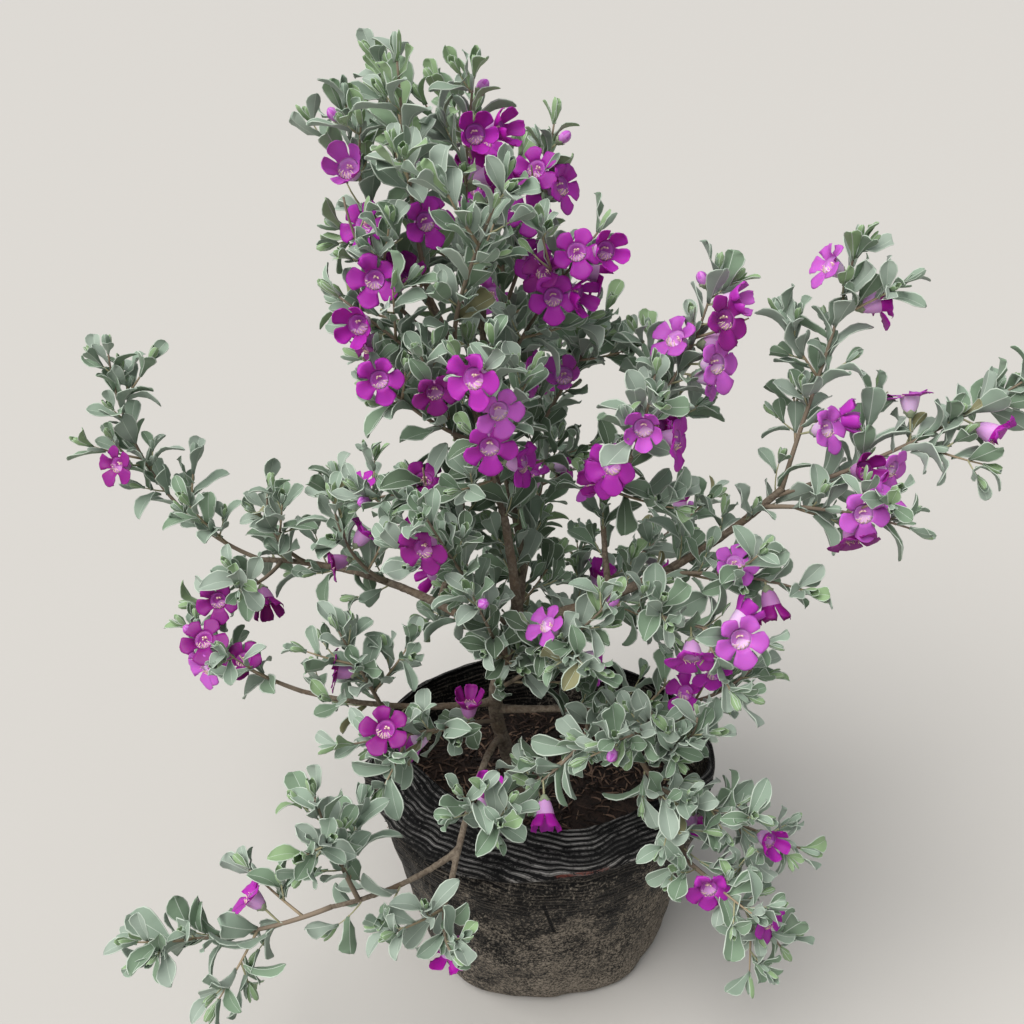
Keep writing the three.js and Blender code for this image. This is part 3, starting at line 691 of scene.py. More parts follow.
def model_leaf(width=1.0, cup=0.06, arch=0.1, wave=0.02, twist=0.0, rows=LEAF_ROWS):
    """A leaf one unit long on +X, its upper side to +Z."""
    last = len(rows) - 1
    bpy.ops.mesh.primitive_grid_add(
        x_subdivisions=last, y_subdivisions=LEAF_COLUMNS, size=1, location=(0.5, 0, 0))
    shape = blank(LEAF_SLOTS)
    bpy.ops.object.transform_apply()
    bpy.ops.object.mode_set(mode="EDIT")
    choose(lambda p: abs(abs(p.y) - OUTER_COLUMN) < 0.01)
    bpy.ops.transform.resize(value=(1, 0.5 * MARGIN / OUTER_COLUMN, 1), center_override=ORIGIN)
    bpy.ops.transform.translate(value=(0, 0, cup * 0.8))
    choose(lambda p: abs(p.y) < INNER_COLUMN + 0.01)
    bpy.ops.transform.resize(value=(1, 0.5 * MIDRIB / INNER_COLUMN, 1), center_override=ORIGIN)
    bpy.ops.transform.translate(value=(0, 0, -MIDRIB_DIP))
    choose(lambda p: abs(p.y) > 0.49)
    bpy.ops.transform.translate(value=(0, 0, cup))
    for i, (place, half) in reversed(list(enumerate(rows))):
        choose(lambda p: abs(p.x - i / last) < 0.01)
        rise = -arch * (place - 0.35) ** 2 * 2
        flatten = 1 if 0 < i < last else 0.3
        bpy.ops.transform.resize(value=(1, 2 * half * width, flatten), center_override=ORIGIN)
        bpy.ops.transform.translate(value=(place - i / last, 0, rise))
        edges = ((1, wave * math.sin(8 * place + 9 * wave) + twist * place),
                 (-1, wave * math.cos(9 * place) - twist * place))
        for side, lift in edges:
            choose(lambda p: abs(p.x - place) < 0.01 and side * p.y > half * width * 0.8)
            bpy.ops.transform.translate(value=(0, 0, lift))
    places, halves = zip(*rows)

    def inside(p):
        """0 on the midrib and 1 on the outline."""
        return abs(p.y) / (np.interp(p.x, places, halves) * width)

    give_slot(PALE, lambda p: inside(p) > MARGIN - 0.01 or inside(p) < 0.01 < p.x)
    bpy.ops.object.mode_set(mode="OBJECT")
    thicken(shape, LEAF_THICKNESS, -1)
    return take(shape)


leaf_shapes = [
    model_leaf(cup=0.05, arch=0.15, wave=0.035),
    model_leaf(0.92, cup=0.1, arch=0.32, wave=0.025),
    model_leaf(1.06, cup=0.02, arch=-0.12, wave=0.055, twist=0.06),
    model_leaf(0.86, cup=0.07, arch=0.5, wave=0.045, twist=-0.08),
    model_leaf(1.1, cup=0.05, arch=0.1, wave=0.075, twist=0.03),
]
young_leaf = model_leaf(0.8, cup=0.1, arch=-0.2, wave=0.01, rows=YOUNG_ROWS)
print("faces in a leaf", len(leaf_shapes[0][1]), "and in a young one", len(young_leaf[1]))

# %% [markdown]
# ## One flower
# The corolla is a wide bell with five lobes that part from each other down to the throat. A circle
# is drawn out ring by ring, one fifth of it is kept, its lobe is narrowed and ruffled, and four
# turned copies close the bell again. Five petals set side by side would leave gaps in the tube,
# which stays one skin here. Each lobe is then given its own size and lean. The lower lip is on the
# side of +Y, which the flower turns to the ground.

# %% Bells
FLOWER_SLOTS = 6
TUBE, LOBE_BACK, THROAT, LOBE_FACE, SEPAL, CREAM = range(FLOWER_SLOTS)
PETAL_SIDES = 30
FIFTH = math.tau / 5
PETAL_THICKNESS = 0.3
TUBE_RINGS = [(1.4, 0), (3, 2.2), (4.4, 5), (5.3, 8.5), (5.9, 12)]
OPEN_LOBE = [(7.8, 13.9), (10.3, 15.2), (12.7, 15.9), (14.4, 15.8), (15.4, 15)]
SHY_LOBE = [(7, 14.2), (8.6, 16.6), (10.1, 18.8), (11.1, 20.6), (11.4, 21.8)]
SQUEEZES = (0.84, 0.84, 0.81, 0.71, 0.55)


def draw_rings(rings, near=0.01):
    """In edit mode on a circle, draws a shell upwards ring by ring. A ring is a radius and a height."""
    radius, height = rings[0]
    for r, z in rings[1:]:
        choose(lambda p: abs(p.z - height) < near)
        bpy.ops.mesh.extrude_region_move(TRANSFORM_OT_translate={"value": (0, 0, z - height)})
        bpy.ops.transform.resize(value=(r / radius, r / radius, 1), center_override=(0, 0, z))
        radius, height = r, z


def model_bell(lobe, ruffle, lobes):
    """A corolla that opens along +Z, in millimetres. Each of the five lobes has a size and a lift."""
    mouth, throat = TUBE_RINGS[-1]
    bpy.ops.mesh.primitive_circle_add(vertices=PETAL_SIDES, radius=TUBE_RINGS[0][0], location=ORIGIN)
    shape = blank(FLOWER_SLOTS)
    bpy.ops.object.mode_set(mode="EDIT")
    draw_rings(TUBE_RINGS + lobe)
    choose(lambda p: abs(math.atan2(p.x, p.y)) > FIFTH / 2, "FACE")
    bpy.ops.mesh.delete(type="FACE")
    give_slot(TUBE, lambda p: p.z < throat)
    give_slot(LOBE_BACK, lambda p: p.z > throat)
    for i, ((r, z), squeeze) in enumerate(zip(lobe, SQUEEZES)):
        choose(lambda p: abs(p.z - z) < 0.01)
        bpy.ops.transform.resize(value=(squeeze, 1, 1), center_override=(0, 0, z))
        half = squeeze * r * math.sin(FIFTH / 2)
        for side in (-1, 1):
            choose(lambda p: abs(p.z - z) < 0.01 and side * p.x > half * 0.85)
            bpy.ops.transform.translate(value=(0, 0, ruffle * (side * 0.6 if i % 2 else 0.8)))
        choose(lambda p: abs(p.z - z) < 0.01 and abs(p.x) < half * 0.1)
        bpy.ops.transform.translate(value=(0, 0, -0.7 * ruffle))
    bpy.ops.mesh.select_all(action="SELECT")
    bpy.ops.mesh.spin(steps=4, dupli=True, angle=4 * FIFTH, center=ORIGIN, axis=(0, 0, 1))
    bpy.ops.mesh.select_all(action="SELECT")
    bpy.ops.mesh.remove_doubles(threshold=0.01)
    for i, (size, lift) in enumerate(lobes):
        choose(lambda p: math.hypot(p.x, p.y) > mouth + 0.1 and abs(
            (math.atan2(p.x, p.y) - i * FIFTH + math.pi) % math.tau - math.pi) < FIFTH / 2)
        bpy.ops.transform.resize(value=(size, size, lift), center_override=(0, 0, throat))
    bpy.ops.object.mode_set(mode="OBJECT")
    thicken(shape, PETAL_THICKNESS, -1, LOBE_FACE - LOBE_BACK)
    return take(shape)


bells = [
    model_bell(OPEN_LOBE, 1.1, ((1.1, 0.3), (1.02, 0.8), (0.9, 1.1), (0.93, 0.9), (1, 0.5))),
    model_bell(OPEN_LOBE, 1.5, ((1.08, -0.4), (1.04, 0.4), (0.95, 1.5), (0.88, 1.2), (1, 0.1))),
    model_bell(OPEN_LOBE, 0.9, ((1.12, 0.6), (0.97, 1), (0.92, 0.5), (0.95, 0.2), (1.04, -0.3))),
    model_bell(SHY_LOBE, 0.8, ((1, 1), (0.95, 1.05), (1.1, 0.85), (1, 0.95), (0.94, 1.1))),
]
print("faces in a bell", [len(bell[1]) for bell in bells])

# %% [markdown]
# A bud is the same corolla before it opens, its lobes folded over each other, and the calyx is a cup
# of five pointed sepals. Both are drawn from a circle with ten corners, two for each lobe, and every
# second line of corners is pressed in or down.

# %% Bud and calyx
FOLD_SIDES = 10
BUD_RINGS = [(1.3, 0), (2.6, 2), (3.9, 4.6), (4.3, 7), (3.7, 9.2), (2.4, 10.8), (1, 11.6)]
BUD_FOLD, BUD_TIP = 0.86, 6
CALYX_RINGS = [(0.7, -1.6), (1.9, -0.8), (3.1, 1.2), (4.2, 3.6)]
CALYX_NOTCH, CALYX_THICKNESS = 1.8, 0.35
FOLDS_FROM = 3


def fold_number(p):
    """How many tenths of the way round a corner stands."""
    return math.atan2(p.x, p.y) / (FIFTH / 2)


def start_folded(rings):
    """Draws a ten-sided shell from its rings and stays in edit mode."""
    bpy.ops.mesh.primitive_circle_add(
        vertices=FOLD_SIDES, radius=rings[0][0], location=(0, 0, rings[0][1]))
    shape = blank(FLOWER_SLOTS)
    bpy.ops.object.transform_apply()
    bpy.ops.object.mode_set(mode="EDIT")
    draw_rings(rings)
    return shape


def choose_folds():
    choose(lambda p: p.z > FOLDS_FROM and round(fold_number(p)) % 2)


def model_bud():
    shape = start_folded(BUD_RINGS)
    bpy.ops.mesh.edge_face_add()
    choose_folds()
    bpy.ops.transform.resize(value=(BUD_FOLD, BUD_FOLD, 1), center_override=ORIGIN)
    choose(lambda p: abs(p.z) < 0.01)
    bpy.ops.mesh.edge_face_add()
    give_slot(TUBE, lambda p: True)
    give_slot(LOBE_BACK, lambda p: p.z > BUD_TIP and math.floor(fold_number(p)) % 2)
    bpy.ops.object.mode_set(mode="OBJECT")
    return take(shape)


def model_calyx():
    shape = start_folded(CALYX_RINGS)
    choose_folds()
    bpy.ops.transform.translate(value=(0, 0, -CALYX_NOTCH))
    give_slot(SEPAL, lambda p: True)
    bpy.ops.object.mode_set(mode="OBJECT")
    thicken(shape, CALYX_THICKNESS, 1)
    return take(shape)


calyx, bud = model_calyx(), model_bud()
print("faces in a calyx", len(calyx[1]), "and in a closed corolla", len(bud[1]))

# %% [markdown]
# The throat is a bowl that deepens into the tube. A cone stands in the tube, its wide end is inset
# and sunk, and the middle of that is sunk again. The side of the lower lip is pale, and the upper
# side and the middle keep the darker colour of the tube as painted shade.

# %% Throat
PALATE_SIDES, PALATE_FOOT, PALATE_MOUTH = 15, 2.2, 5.6
PALATE_DEPTH, PALATE_MIDDLE = 6.4, 8.4
BOWL_EDGE, BOWL_SINK, BOWL_FLOOR = 1.5, 2.2, 3.2
PALE_LIP, PALE_WAVE = 1.2, 0.5


def model_palate():
    bpy.ops.mesh.primitive_cone_add(
        vertices=PALATE_SIDES, radius1=PALATE_FOOT, radius2=PALATE_MOUTH, depth=PALATE_DEPTH,
        location=(0, 0, PALATE_MIDDLE), end_fill_type="TRIFAN")
    shape = blank(FLOWER_SLOTS)
    bpy.ops.object.transform_apply()
    bpy.ops.object.mode_set(mode="EDIT")
    choose(lambda p: p.z > PALATE_MIDDLE + 0.4 * PALATE_DEPTH, "FACE")
    bpy.ops.mesh.inset(thickness=BOWL_EDGE, depth=0)
    bpy.ops.transform.translate(value=(0, 0, -BOWL_SINK))
    choose(lambda p: p.z > PALATE_MIDDLE and math.hypot(p.x, p.y) < 1)
    bpy.ops.transform.translate(value=(0, 0, -BOWL_FLOOR))
    # The darker tube colour on the upper side and in the middle is painted shade.
    give_slot(TUBE, lambda p: True)
    give_slot(THROAT, lambda p: p.y > PALE_LIP - PALE_WAVE * math.sin(7 * p.x))
    bpy.ops.object.mode_set(mode="OBJECT")
    return take(shape)


palate = model_palate()
print("faces in a throat", len(palate[1]))

# %% [markdown]
# Cream hairs stand on the lower lip, and four stamens of the same colour on the upper side. Each is
# modelled once from a thin cone and set in the throat by rows: an angle and a size for a stamen,
# and an angle, a way from the middle and a lean for a hair.

# %% Hairs and stamens
THREAD_SIDES, THREAD_RADII = 4, (0.35, 0.2)
THREAD_LENGTH, THREAD_MIDDLE = 7, (1.9, 0, 7.4)
HEAD_SHAPE, HEAD_RADIUS, HEAD_PLACE = (0.8, 1.3, 0.8), 0.7, (2.1, 0, 11.2)
HAIR_SIDES, HAIR_RADII = 3, (0.45, 0.15)
HAIR_LENGTH, HAIR_MIDDLE = 3.4, (0, 0, 1.2)
HAIR_TOP, HAIR_SLOPE = 15.2, 0.7
STAMENS = [(232, 1), (262, 0.88), (288, 0.97), (318, 0.82)]
HAIRS = [(28, 5.2, -30), (46, 4.6, -60), (62, 5.6, -20), (78, 4.8, -50), (95, 5.7, -35),
         (110, 4.7, -65), (126, 5.4, -25), (148, 4.9, -55)]


def add_spike(sides, radii, length, middle):
    """An upright cone, cut off at its tip."""
    bpy.ops.mesh.primitive_cone_add(
        vertices=sides, radius1=radii[0], radius2=radii[1], depth=length, location=middle)
    spike = blank(FLOWER_SLOTS)
    bpy.ops.object.transform_apply()
    return spike


def take_cream(shape):
    """A modelled shape that is cream all over, as arrays."""
    points, faces, slots = take(shape)
    return points, faces, [CREAM] * len(slots)


def model_stamen():
    """A thread with a small head, beside the middle of the tube."""
    thread = add_spike(THREAD_SIDES, THREAD_RADII, THREAD_LENGTH, THREAD_MIDDLE)
    bpy.ops.mesh.primitive_ico_sphere_add(subdivisions=1, radius=HEAD_RADIUS, location=HEAD_PLACE)
    bpy.context.object.scale = HEAD_SHAPE
    bpy.ops.object.transform_apply(location=True, scale=True)
    thread.select_set(True)
    bpy.context.view_layer.objects.active = thread
    bpy.ops.object.join()
    return take_cream(thread)


def turned(angle, letter="Z"):
    """A turn by an angle in degrees round one of the three axes."""
    return Matrix.Rotation(math.radians(angle), 4, letter)


stamen = model_stamen()
hair = take_cream(add_spike(HAIR_SIDES, HAIR_RADII, HAIR_LENGTH, HAIR_MIDDLE))
stamens = [(stamen, turned(angle) @ Matrix.Scale(size, 4)) for angle, size in STAMENS]
hairs = []
for angle, out, lean in HAIRS:
    root = Matrix.Translation((out, 0, HAIR_TOP - out * HAIR_SLOPE))
    hairs.append((hair, turned(angle) @ root @ turned(lean, "Y")))
print("stamens", len(stamens), "hairs", len(hairs))

# %% Whole flowers
def together(*shapes):
    """One shape out of several, each with its place or none."""
    heap = Heap()
    for shape, matrix in shapes:
        heap.add(shape, matrix)
    return np.concatenate(heap.points), heap.faces, heap.slots


inner_parts = [(calyx, None), (palate, None), *stamens, *hairs]
flower_shapes = [together((bell, None), *inner_parts) for bell in bells]
bud_shape = together((bud, None), (calyx, None))
print("faces in a flower", [len(shape[1]) for shape in flower_shapes], "in a bud", len(bud_shape[1]))

# %% [markdown]
# ## Finishes of leaves and flowers
# Felt scatters light softly, so leaves are rough with a faint sheen. Petals are smoother and let a
# little light through. Each tone is a plain colour of its own. Leaves are silver for the most part,
# fresher near the top, green where young, darker as painted shade deep in the crown, and pale on
# their margins. A flower is bright, deep or pale, with its own colours for the tube, the backs of
# the lobes, the throat and the lobes' faces.

# %% Leaf and flower finishes
def leafy(name, colour, rough=0.82):
    made = Finish(name, paint(*colour), Roughness=rough)
    return made.set(Sheen_Weight=0.15, Sheen_Roughness=0.4)


def silky(name, colour):
    made = Finish(name, paint(*colour), Roughness=0.55)
    return made.set(Subsurface_Weight=0.1, Subsurface_Scale=0.002, Specular_IOR_Level=0.3)


LEAF_FINISHES = [
    leafy("leaf_silver", (132, 150, 133)),
    leafy("leaf_sage", (114, 136, 112)),
    leafy("leaf_grey", (144, 158, 145)),
    # The shade tone is painted shade, for leaves deep in the crown.
    leafy("leaf_painted_shade", (88, 107, 84)),
    leafy("leaf_young", (134, 160, 118)),
    leafy("leaf_old", (128, 126, 92)),
    leafy("leaf_fresh", (130, 154, 124)),
    leafy("leaf_margin", (184, 196, 182)),
]
SILVER, SAGE, GREY, PAINTED_SHADE, YOUNG, OLD, FRESH, MARGIN_TONE = range(len(LEAF_FINISHES))
PETAL_PARTS = ("tube", "back", "throat", "face")
PETAL_TONES = {
    "bright": ((180, 84, 184), (160, 36, 158), (206, 152, 208), (158, 12, 150)),
    "deep": ((152, 58, 150), (128, 20, 120), (184, 122, 182), (128, 6, 116)),
    "pale": ((196, 124, 202), (180, 84, 184), (222, 184, 224), (172, 48, 172)),
}
petal_finishes = [
    silky(f"petal_{tone}_{part}", colour)
    for tone, colours in PETAL_TONES.items() for part, colour in zip(PETAL_PARTS, colours)]
calyx_finish = leafy("calyx", (140, 150, 122))
stamen_finish = Finish("stamen", paint(238, 216, 190), Roughness=0.6)
print("leaf tones", len(LEAF_FINISHES), "petal colours", len(petal_finishes))

# %% [markdown]
# ## Wood
# Bark covers trunk and boughs in one skin. Each limb starts as a tube whose rings are fluted, with a
# swelling where it leaves its parent. The tubes are joined, and a fine voxel remesh melts them into
# one wooden body, as forks are in life.

# %% Tubes on axes
def tube(axis, radius_at, sides, step, start=0.0, end=0.0, flute=None):
    """A closed tube on an axis, its ends carried on by the given lengths."""
    rings = max(2, math.ceil(axis.length / step))
    points, faces = [], []
    for i in range(rings + 1):
        share = i / rings
        middle = axis.point(share)
        if i == 0:
            middle = middle - axis.tangent(0) * start
        if i == rings:
            middle = middle + axis.tangent(1) * end
        side, over = axis.sides(share)
        for j in range(sides):
            angle = math.tau * j / sides
            radius = radius_at(share) * (flute(share, angle) if flute else 1)
            points.append(middle + (side * math.cos(angle) + over * math.sin(angle)) * radius)
    for i in range(rings):
        for j in range(sides):
            a, b = i * sides + j, i * sides + (j + 1) % sides
            faces.append((a, b, b + sides, a + sides))
    faces.append(tuple(reversed(range(sides))))
    faces.append(tuple(range(rings * sides, (rings + 1) * sides)))
    return np.array(points), faces, [0] * len(faces)


def taper(base, tip):
    """A radius that goes evenly from the base to the tip."""
    return lambda share: base + (tip - base) * share


print("stems to clothe", round(sum(stem.length for stem in stems.values())), "mm")

# %% Limbs as tubes
LIMB_SIDES, LIMB_STEP = 22, 1.3
FLARE, FLARE_HEIGHT = 3.4, 13
SWELLING, SWELLING_LENGTH = 0.45, 7
TRUNK_BELOW, LIMB_END = 2.5, 0.6
FURROW, FURROW_RUN = 0.2, 14
KNOT, KNOT_RUN = 0.1, 9
ROOT_LOBE, ROOT_RUN = 0.16, 9


def ripple(x, y, z):
    """Smooth noise, between -1 and 1."""
    return noise.noise(Vector((x, y, z)))


def limb_radius(name):
    """The radius of a limb up its length, with the trunk's flare or a branch's swelling."""
    axis, radii = limbs[name]
    plain = taper(*radii)

    def radius(share):
        along = share * axis.length
        if name == "trunk":
            return plain(share) + FLARE * math.exp(-along / FLARE_HEIGHT)
        return plain(share) * (1 + SWELLING * math.exp(-along / SWELLING_LENGTH))
    return radius


def bark_flute(name):
    """Shallow furrows that wander round a limb, deeper lobes at the root, and knots."""
    length = limbs[name][0].length
    seed = sum(map(ord, name))

    def flute(share, angle):
        along = share * length
        c, s = math.cos(angle), math.sin(angle)
        furrow = abs(ripple(2.2 * c, 2.2 * s, along / FURROW_RUN + seed)) - 0.22
        knot = ripple(c, s, along / KNOT_RUN - seed)
        lobe = 0
        if name == "trunk":
            lobe = ROOT_LOBE * math.cos(3 * angle + 0.7) * math.exp(-along / ROOT_RUN)
        return 1 - FURROW * furrow + KNOT * knot + lobe
    return flute


bark_heap = Heap()
for name, (axis, _) in limbs.items():
    below = TRUNK_BELOW if name == "trunk" else 0
    radius, flute = limb_radius(name), bark_flute(name)
    bark_heap.add(tube(axis, radius, LIMB_SIDES, LIMB_STEP, below, LIMB_END, flute))
print("limb tubes", bark_heap.copies, "faces", len(bark_heap.faces))

# %% [markdown]
# The bark is grey-brown in small flakes, with browner patches where they have come off. Besides the
# flakes of its colour, a cloud texture roughens the mesh itself, so that the outline isn't smooth.

# %% Bark skin
VOXEL = 0.72
FLAKE_SIZE, FLAKE_DEPTH = 0.0022, 0.0005


def stand_for(piece, nodes):
    """Puts a finished piece in the place of the solids that it dresses."""
    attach(piece, "root")
    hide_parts(*nodes)
    print(piece.name, len(piece.data.polygons), "faces, for", len(nodes), "nodes")


bark_finish = Finish("bark", paint(112, 100, 86), Roughness=0.88)
flakes = bark_finish.grain(3.2, 5, 0.7, warp=0.8)
patches = bark_finish.grain(16, 3, 0.6).step(0.45, 0.7)
grey_brown = bark_finish.blend(
    flakes.step(0.38, 0.62), full(paint(94, 82, 70)), full(paint(128, 116, 101)))
bark_finish.set(
    Base_Color=bark_finish.blend(patches * 0.6, grey_brown, full(paint(112, 92, 72))),
    Normal=bark_finish.relief(flakes + bark_finish.grain(0.9, 2, 0.6) * 0.4, 0.7))
bark = bark_heap.make("bark", [bark_finish])
pick(bark)
melt = bark.modifiers.new("melt", "REMESH")
melt.mode, melt.voxel_size, melt.use_smooth_shade = "VOXEL", VOXEL * MM, True
apply_all(bark)
cloud = bpy.data.textures.new("flakes", "CLOUDS")
cloud.noise_scale, cloud.noise_depth = FLAKE_SIZE, 2
rough = bark.modifiers.new("rough", "DISPLACE")
rough.texture, rough.texture_coords, rough.mid_level = cloud, "LOCAL", 0.5
rough.strength = FLAKE_DEPTH
apply_all(bark)
stand_for(bark, limbs)

# %% [markdown]
# ## Growing the sprays
# The flowers are set first, so that the leaves can leave them room. A flower stands off its stem on
# a short stalk. Its mouth and the air in front of it are kept as points, which leaves stay clear of.

# %% Flowers on a spray
FLOWER_SEED = 700
FLOWER_SPREAD, FLOWER_REACH = 65, 18
BELL_LENGTH, FREE_THREAD = 17, 3
OPEN_AIR = 11
UP = Vector((0, 0, 1))


def flowers_of(name, blooms, roll):
    """Rows of the foot, the direction, the stalk and a number by chance for each flower."""
    rows = []
    for share, angle, *reach in blooms:
        along = stems[name].leaving(share, FLOWER_SPREAD, angle)
        stalk = (reach[0] if reach else FLOWER_REACH) + FREE_THREAD - BELL_LENGTH
        root = stems[name].point(share)
        rows.append((root + along * stalk, along, Axis(root, bend_of(along), stalk), roll()))
    return rows


def flower_place(foot, along, turn):
    """Sets a flower's foot on a point, its mouth along a direction and its lower lip down."""
    side = along.cross(UP)
    side = side.normalized() if side.length > 0.05 else Vector((1, 0, 0))
    grid = Matrix((side, side.cross(along) * -1, along)).transposed().to_4x4()
    return Matrix.Translation(foot) @ grid @ turned(turn)


flowers = {}
for i, (name, _, _, _, blooms) in enumerate(SPRAYS):
    flowers[name] = flowers_of(name, blooms + MORE_BLOOMS.get(name, []), dice(i + FLOWER_SEED))
mouths = np.array([foot + along * (BELL_LENGTH + before) for rows in flowers.values()
                   for foot, along, _, _ in rows for before in (0, OPEN_AIR)])
print("flowers", sum(map(len, flowers.values())))

# %% [markdown]
# Every stem and twig carries leaves up its length by the golden angle, more closely to its line
# towards the tip, where the last ones stand in a small rosette. A leaf's upper side looks to the
# tip and a little to the sky. A leaf that would touch the bag, bark or a flower isn't grown.

# %% One leaf in its place
LEAF_AIR, BARK_AIR, FLOWER_AIR = 1.5, 0.7, 13
LEAF_PROBES = ((0.4, 0), (0.7, 0.26), (0.7, -0.26), (1, 0))
DEEP_REACH, DEEP_HEIGHT = 70, 430
OLD_CHANCE, PAINTED_SHADE_CHANCE = 0.015, 0.5
YOUNG_HIGH, YOUNG_LOW = (0.66, 0.6), (0.8, 0.2)


def room_for_leaf(root, along, across, length):
    """Whether a leaf keeps clear of bag, bark and flowers."""
    points = [root + along * length * reach + across * length * side for reach, side in LEAF_PROBES]
    for point in points:
        if not clear_of_bag(point, LEAF_AIR, WIDE_FOLD_TUCK) or distances(point)[0].min() < BARK_AIR:
            return False
    away = np.linalg.norm(mouths[:, None] - np.array(points[1:]), axis=2)
    return away.min() > FLOWER_AIR


def grow_leaf(heap, root, along, face, length, shape, tone):
    """Adds a leaf to a heap, its upper side towards face, where there is room."""
    face = (face - along * face.dot(along)).normalized()
    across = face.cross(along)
    if not room_for_leaf(root, along, across, length):
        return
    grid = Matrix((along, across, face)).transposed().to_4x4()
    heap.add(shape, Matrix.Translation(root) @ grid @ Matrix.Scale(length, 4), (tone, MARGIN_TONE))


def tone_of(point, share, roll, high):
    """Young near a tip, painted shade deep in the crown, and a mix of silvers elsewhere."""
    deep = math.hypot(point.x - TRUNK_FOOT[0], point.y) < DEEP_REACH and point.z < DEEP_HEIGHT
    young_from, young_chance = YOUNG_HIGH if high else YOUNG_LOW
    chance = roll()
    if chance < OLD_CHANCE:
        return OLD
    if share > young_from and chance < young_chance:
        return YOUNG
    # Many leaves deep in the crown take the darker tone, which is painted shade.
    if deep and chance < PAINTED_SHADE_CHANCE:
        return PAINTED_SHADE
    return (SILVER, FRESH if high else SAGE, GREY)[int(roll() * 2.999)]


print("a leaf keeps", LEAF_AIR, "mm from the bag and", BARK_AIR, "mm from bark")

# %% Leaves on an axis
LEAF_SPREAD, LEAF_CLOSING, LEAF_RISE, FACE_RISE = 62, 28, 0.25, 0.45
LEAF_LENGTH, LEAF_LENGTHS, LEAF_STEP = 25, (0.78, 1.2), 8
SPREAD_JITTER, FACE_JITTER = 9, (0.4, 0.4, 0.3)
SMALL_CHANCE, SMALL_TURNS, SMALL_LENGTHS = 0.3, (35, 70), (0.4, 0.65)
ROSETTE, ROSETTE_SPREADS, ROSETTE_LENGTHS, YOUNG_TIP_CHANCE = 3, (12, 26), (0.4, 0.6), 0.7


def leaves_on(heap, axis, bare, roll, high, size=1.0):
    """Leaves up an axis from its bare foot, small ones in some of their angles, and a rosette."""
    count = max(2, round(axis.length * (1 - bare) / LEAF_STEP))
    start = 360 * roll()
    for i in range(count + 1):
        share = bare + (1 - bare) * i / count
        spread = LEAF_SPREAD - LEAF_CLOSING * share + roll(-SPREAD_JITTER, SPREAD_JITTER)
        turn = start + GOLDEN_ANGLE * i
        along = (axis.leaving(share, spread, turn) + UP * LEAF_RISE).normalized()
        root = axis.point(share)
        jitter = Vector([roll(-most, most) for most in FACE_JITTER])
        face = axis.tangent(share) + UP * FACE_RISE + jitter
        length = LEAF_LENGTH * size * roll(*LEAF_LENGTHS) * (1 - 0.3 * share ** 4)
        shape = leaf_shapes[int(roll() * 4.999)]
        grow_leaf(heap, root, along, face, length, shape, tone_of(root, share, roll, high))
        if roll() < SMALL_CHANCE:
            small = axis.leaving(share, spread * 0.7, turn + roll(*SMALL_TURNS))
            grow_leaf(heap, root, small, axis.tangent(share), length * roll(*SMALL_LENGTHS),
                      young_leaf, tone_of(root, share, roll, high))
    for i in range(ROSETTE):
        along = axis.leaving(1, roll(*ROSETTE_SPREADS), start + 40 + 360 / ROSETTE * i)
        length = LEAF_LENGTH * size * roll(*ROSETTE_LENGTHS)
        grow_leaf(heap, axis.point(1), along, axis.tangent(1), length,
                  young_leaf, YOUNG if roll() < YOUNG_TIP_CHANCE else SILVER)


print("a leaf on each", LEAF_STEP, "mm of a shoot")

# %% [markdown]
# Leaves of the true size need more wood to sit on than the solids have, so finer shoots leave the
# twigs and the stems by the same golden angle. Some sprays are closer or looser than the rest, and a
# few get more shoots, given one by one. A row of those gives the share of the stem, the bend and
# the length.

# %% Fine shoots
SHOOT_SPACING, SHOOT_LENGTH, SHOOT_LENGTHS = 19, 16, (0.7, 1.3)
SHOOT_SPREAD, SHOOT_AIR = 50, 4
SPACINGS = {"top_far_left": 26, "top_left": 30, "top_middle": 28, "top_right": 28, "rim_right": 13,
            "over_rim_right": 12, "over_rim_front_right": 12, "low_right_rim": 14, "low_right_tip": 13}
MORE_SHOOTS = {
    "top_far_left": [(0.72, (176, 0, 32, 30), 34), (0.5, (190, 0, 40, 30), 26)],
    "over_rim_right": [(0.1, (-70, 0, 25, 30), 26), (0.25, (-100, 0, 30, 20), 24)],
    "over_rim_front_right": [(0.1, (-130, 0, 20, 30), 26), (0.3, (20, 0, 35, 20), 24)],
    "back_left": [(0.14, (120, 0, 20, 30), 34), (0.2, (70, 0, 35, 20), 30),
                  (0.28, (150, 0, -10, 30), 26)],
    "back_right": [(0.14, (95, 0, 10, 30), 34), (0.2, (30, 0, -15, 40), 30),
                   (0.28, (110, 0, 30, 20), 26)],
}


def longer(axis, more, lift=0.0):
    """The same shoot grown on with the same bend, and perhaps lifted to the light."""
    azimuth, turn, pitch, up = axis.bend
    grown = 1 + more / axis.length
    return Axis(axis.points[0], (azimuth, turn * grown, pitch, up * grown + lift), axis.length * grown)


def shoots_of(axis, roll, spacing, length, low=0.2, high=0.95, lift=14):
    """Short shoots that leave an axis by the golden angle, where there is room."""
    start, shoots = 360 * roll(), []
    count = round(axis.length * (high - low) / spacing)
    for i in range(count):
        share = low + (high - low) * (i + roll()) / count
        along = axis.leaving(share, SHOOT_SPREAD, start + GOLDEN_ANGLE * i)
        reach = length * roll(*SHOOT_LENGTHS) * (1 - 0.3 * share)
        shoot = Axis(axis.point(share), bend_of(along, 0, lift), reach)
        tip = shoot.point(1)
        if clear_of_bag(tip, SHOOT_AIR, WIDE_FOLD_TUCK) and distances(tip)[0].min() > SHOOT_AIR:
            shoots.append(shoot)
    return shoots


print("more shoots", sum(map(len, MORE_SHOOTS.values())))

# %% [markdown]
# The stems are grey-brown, the twigs tan and the finest wood is green. Flowers of all three tones
# share one list of finishes, and each tone has its own row of slots in it.

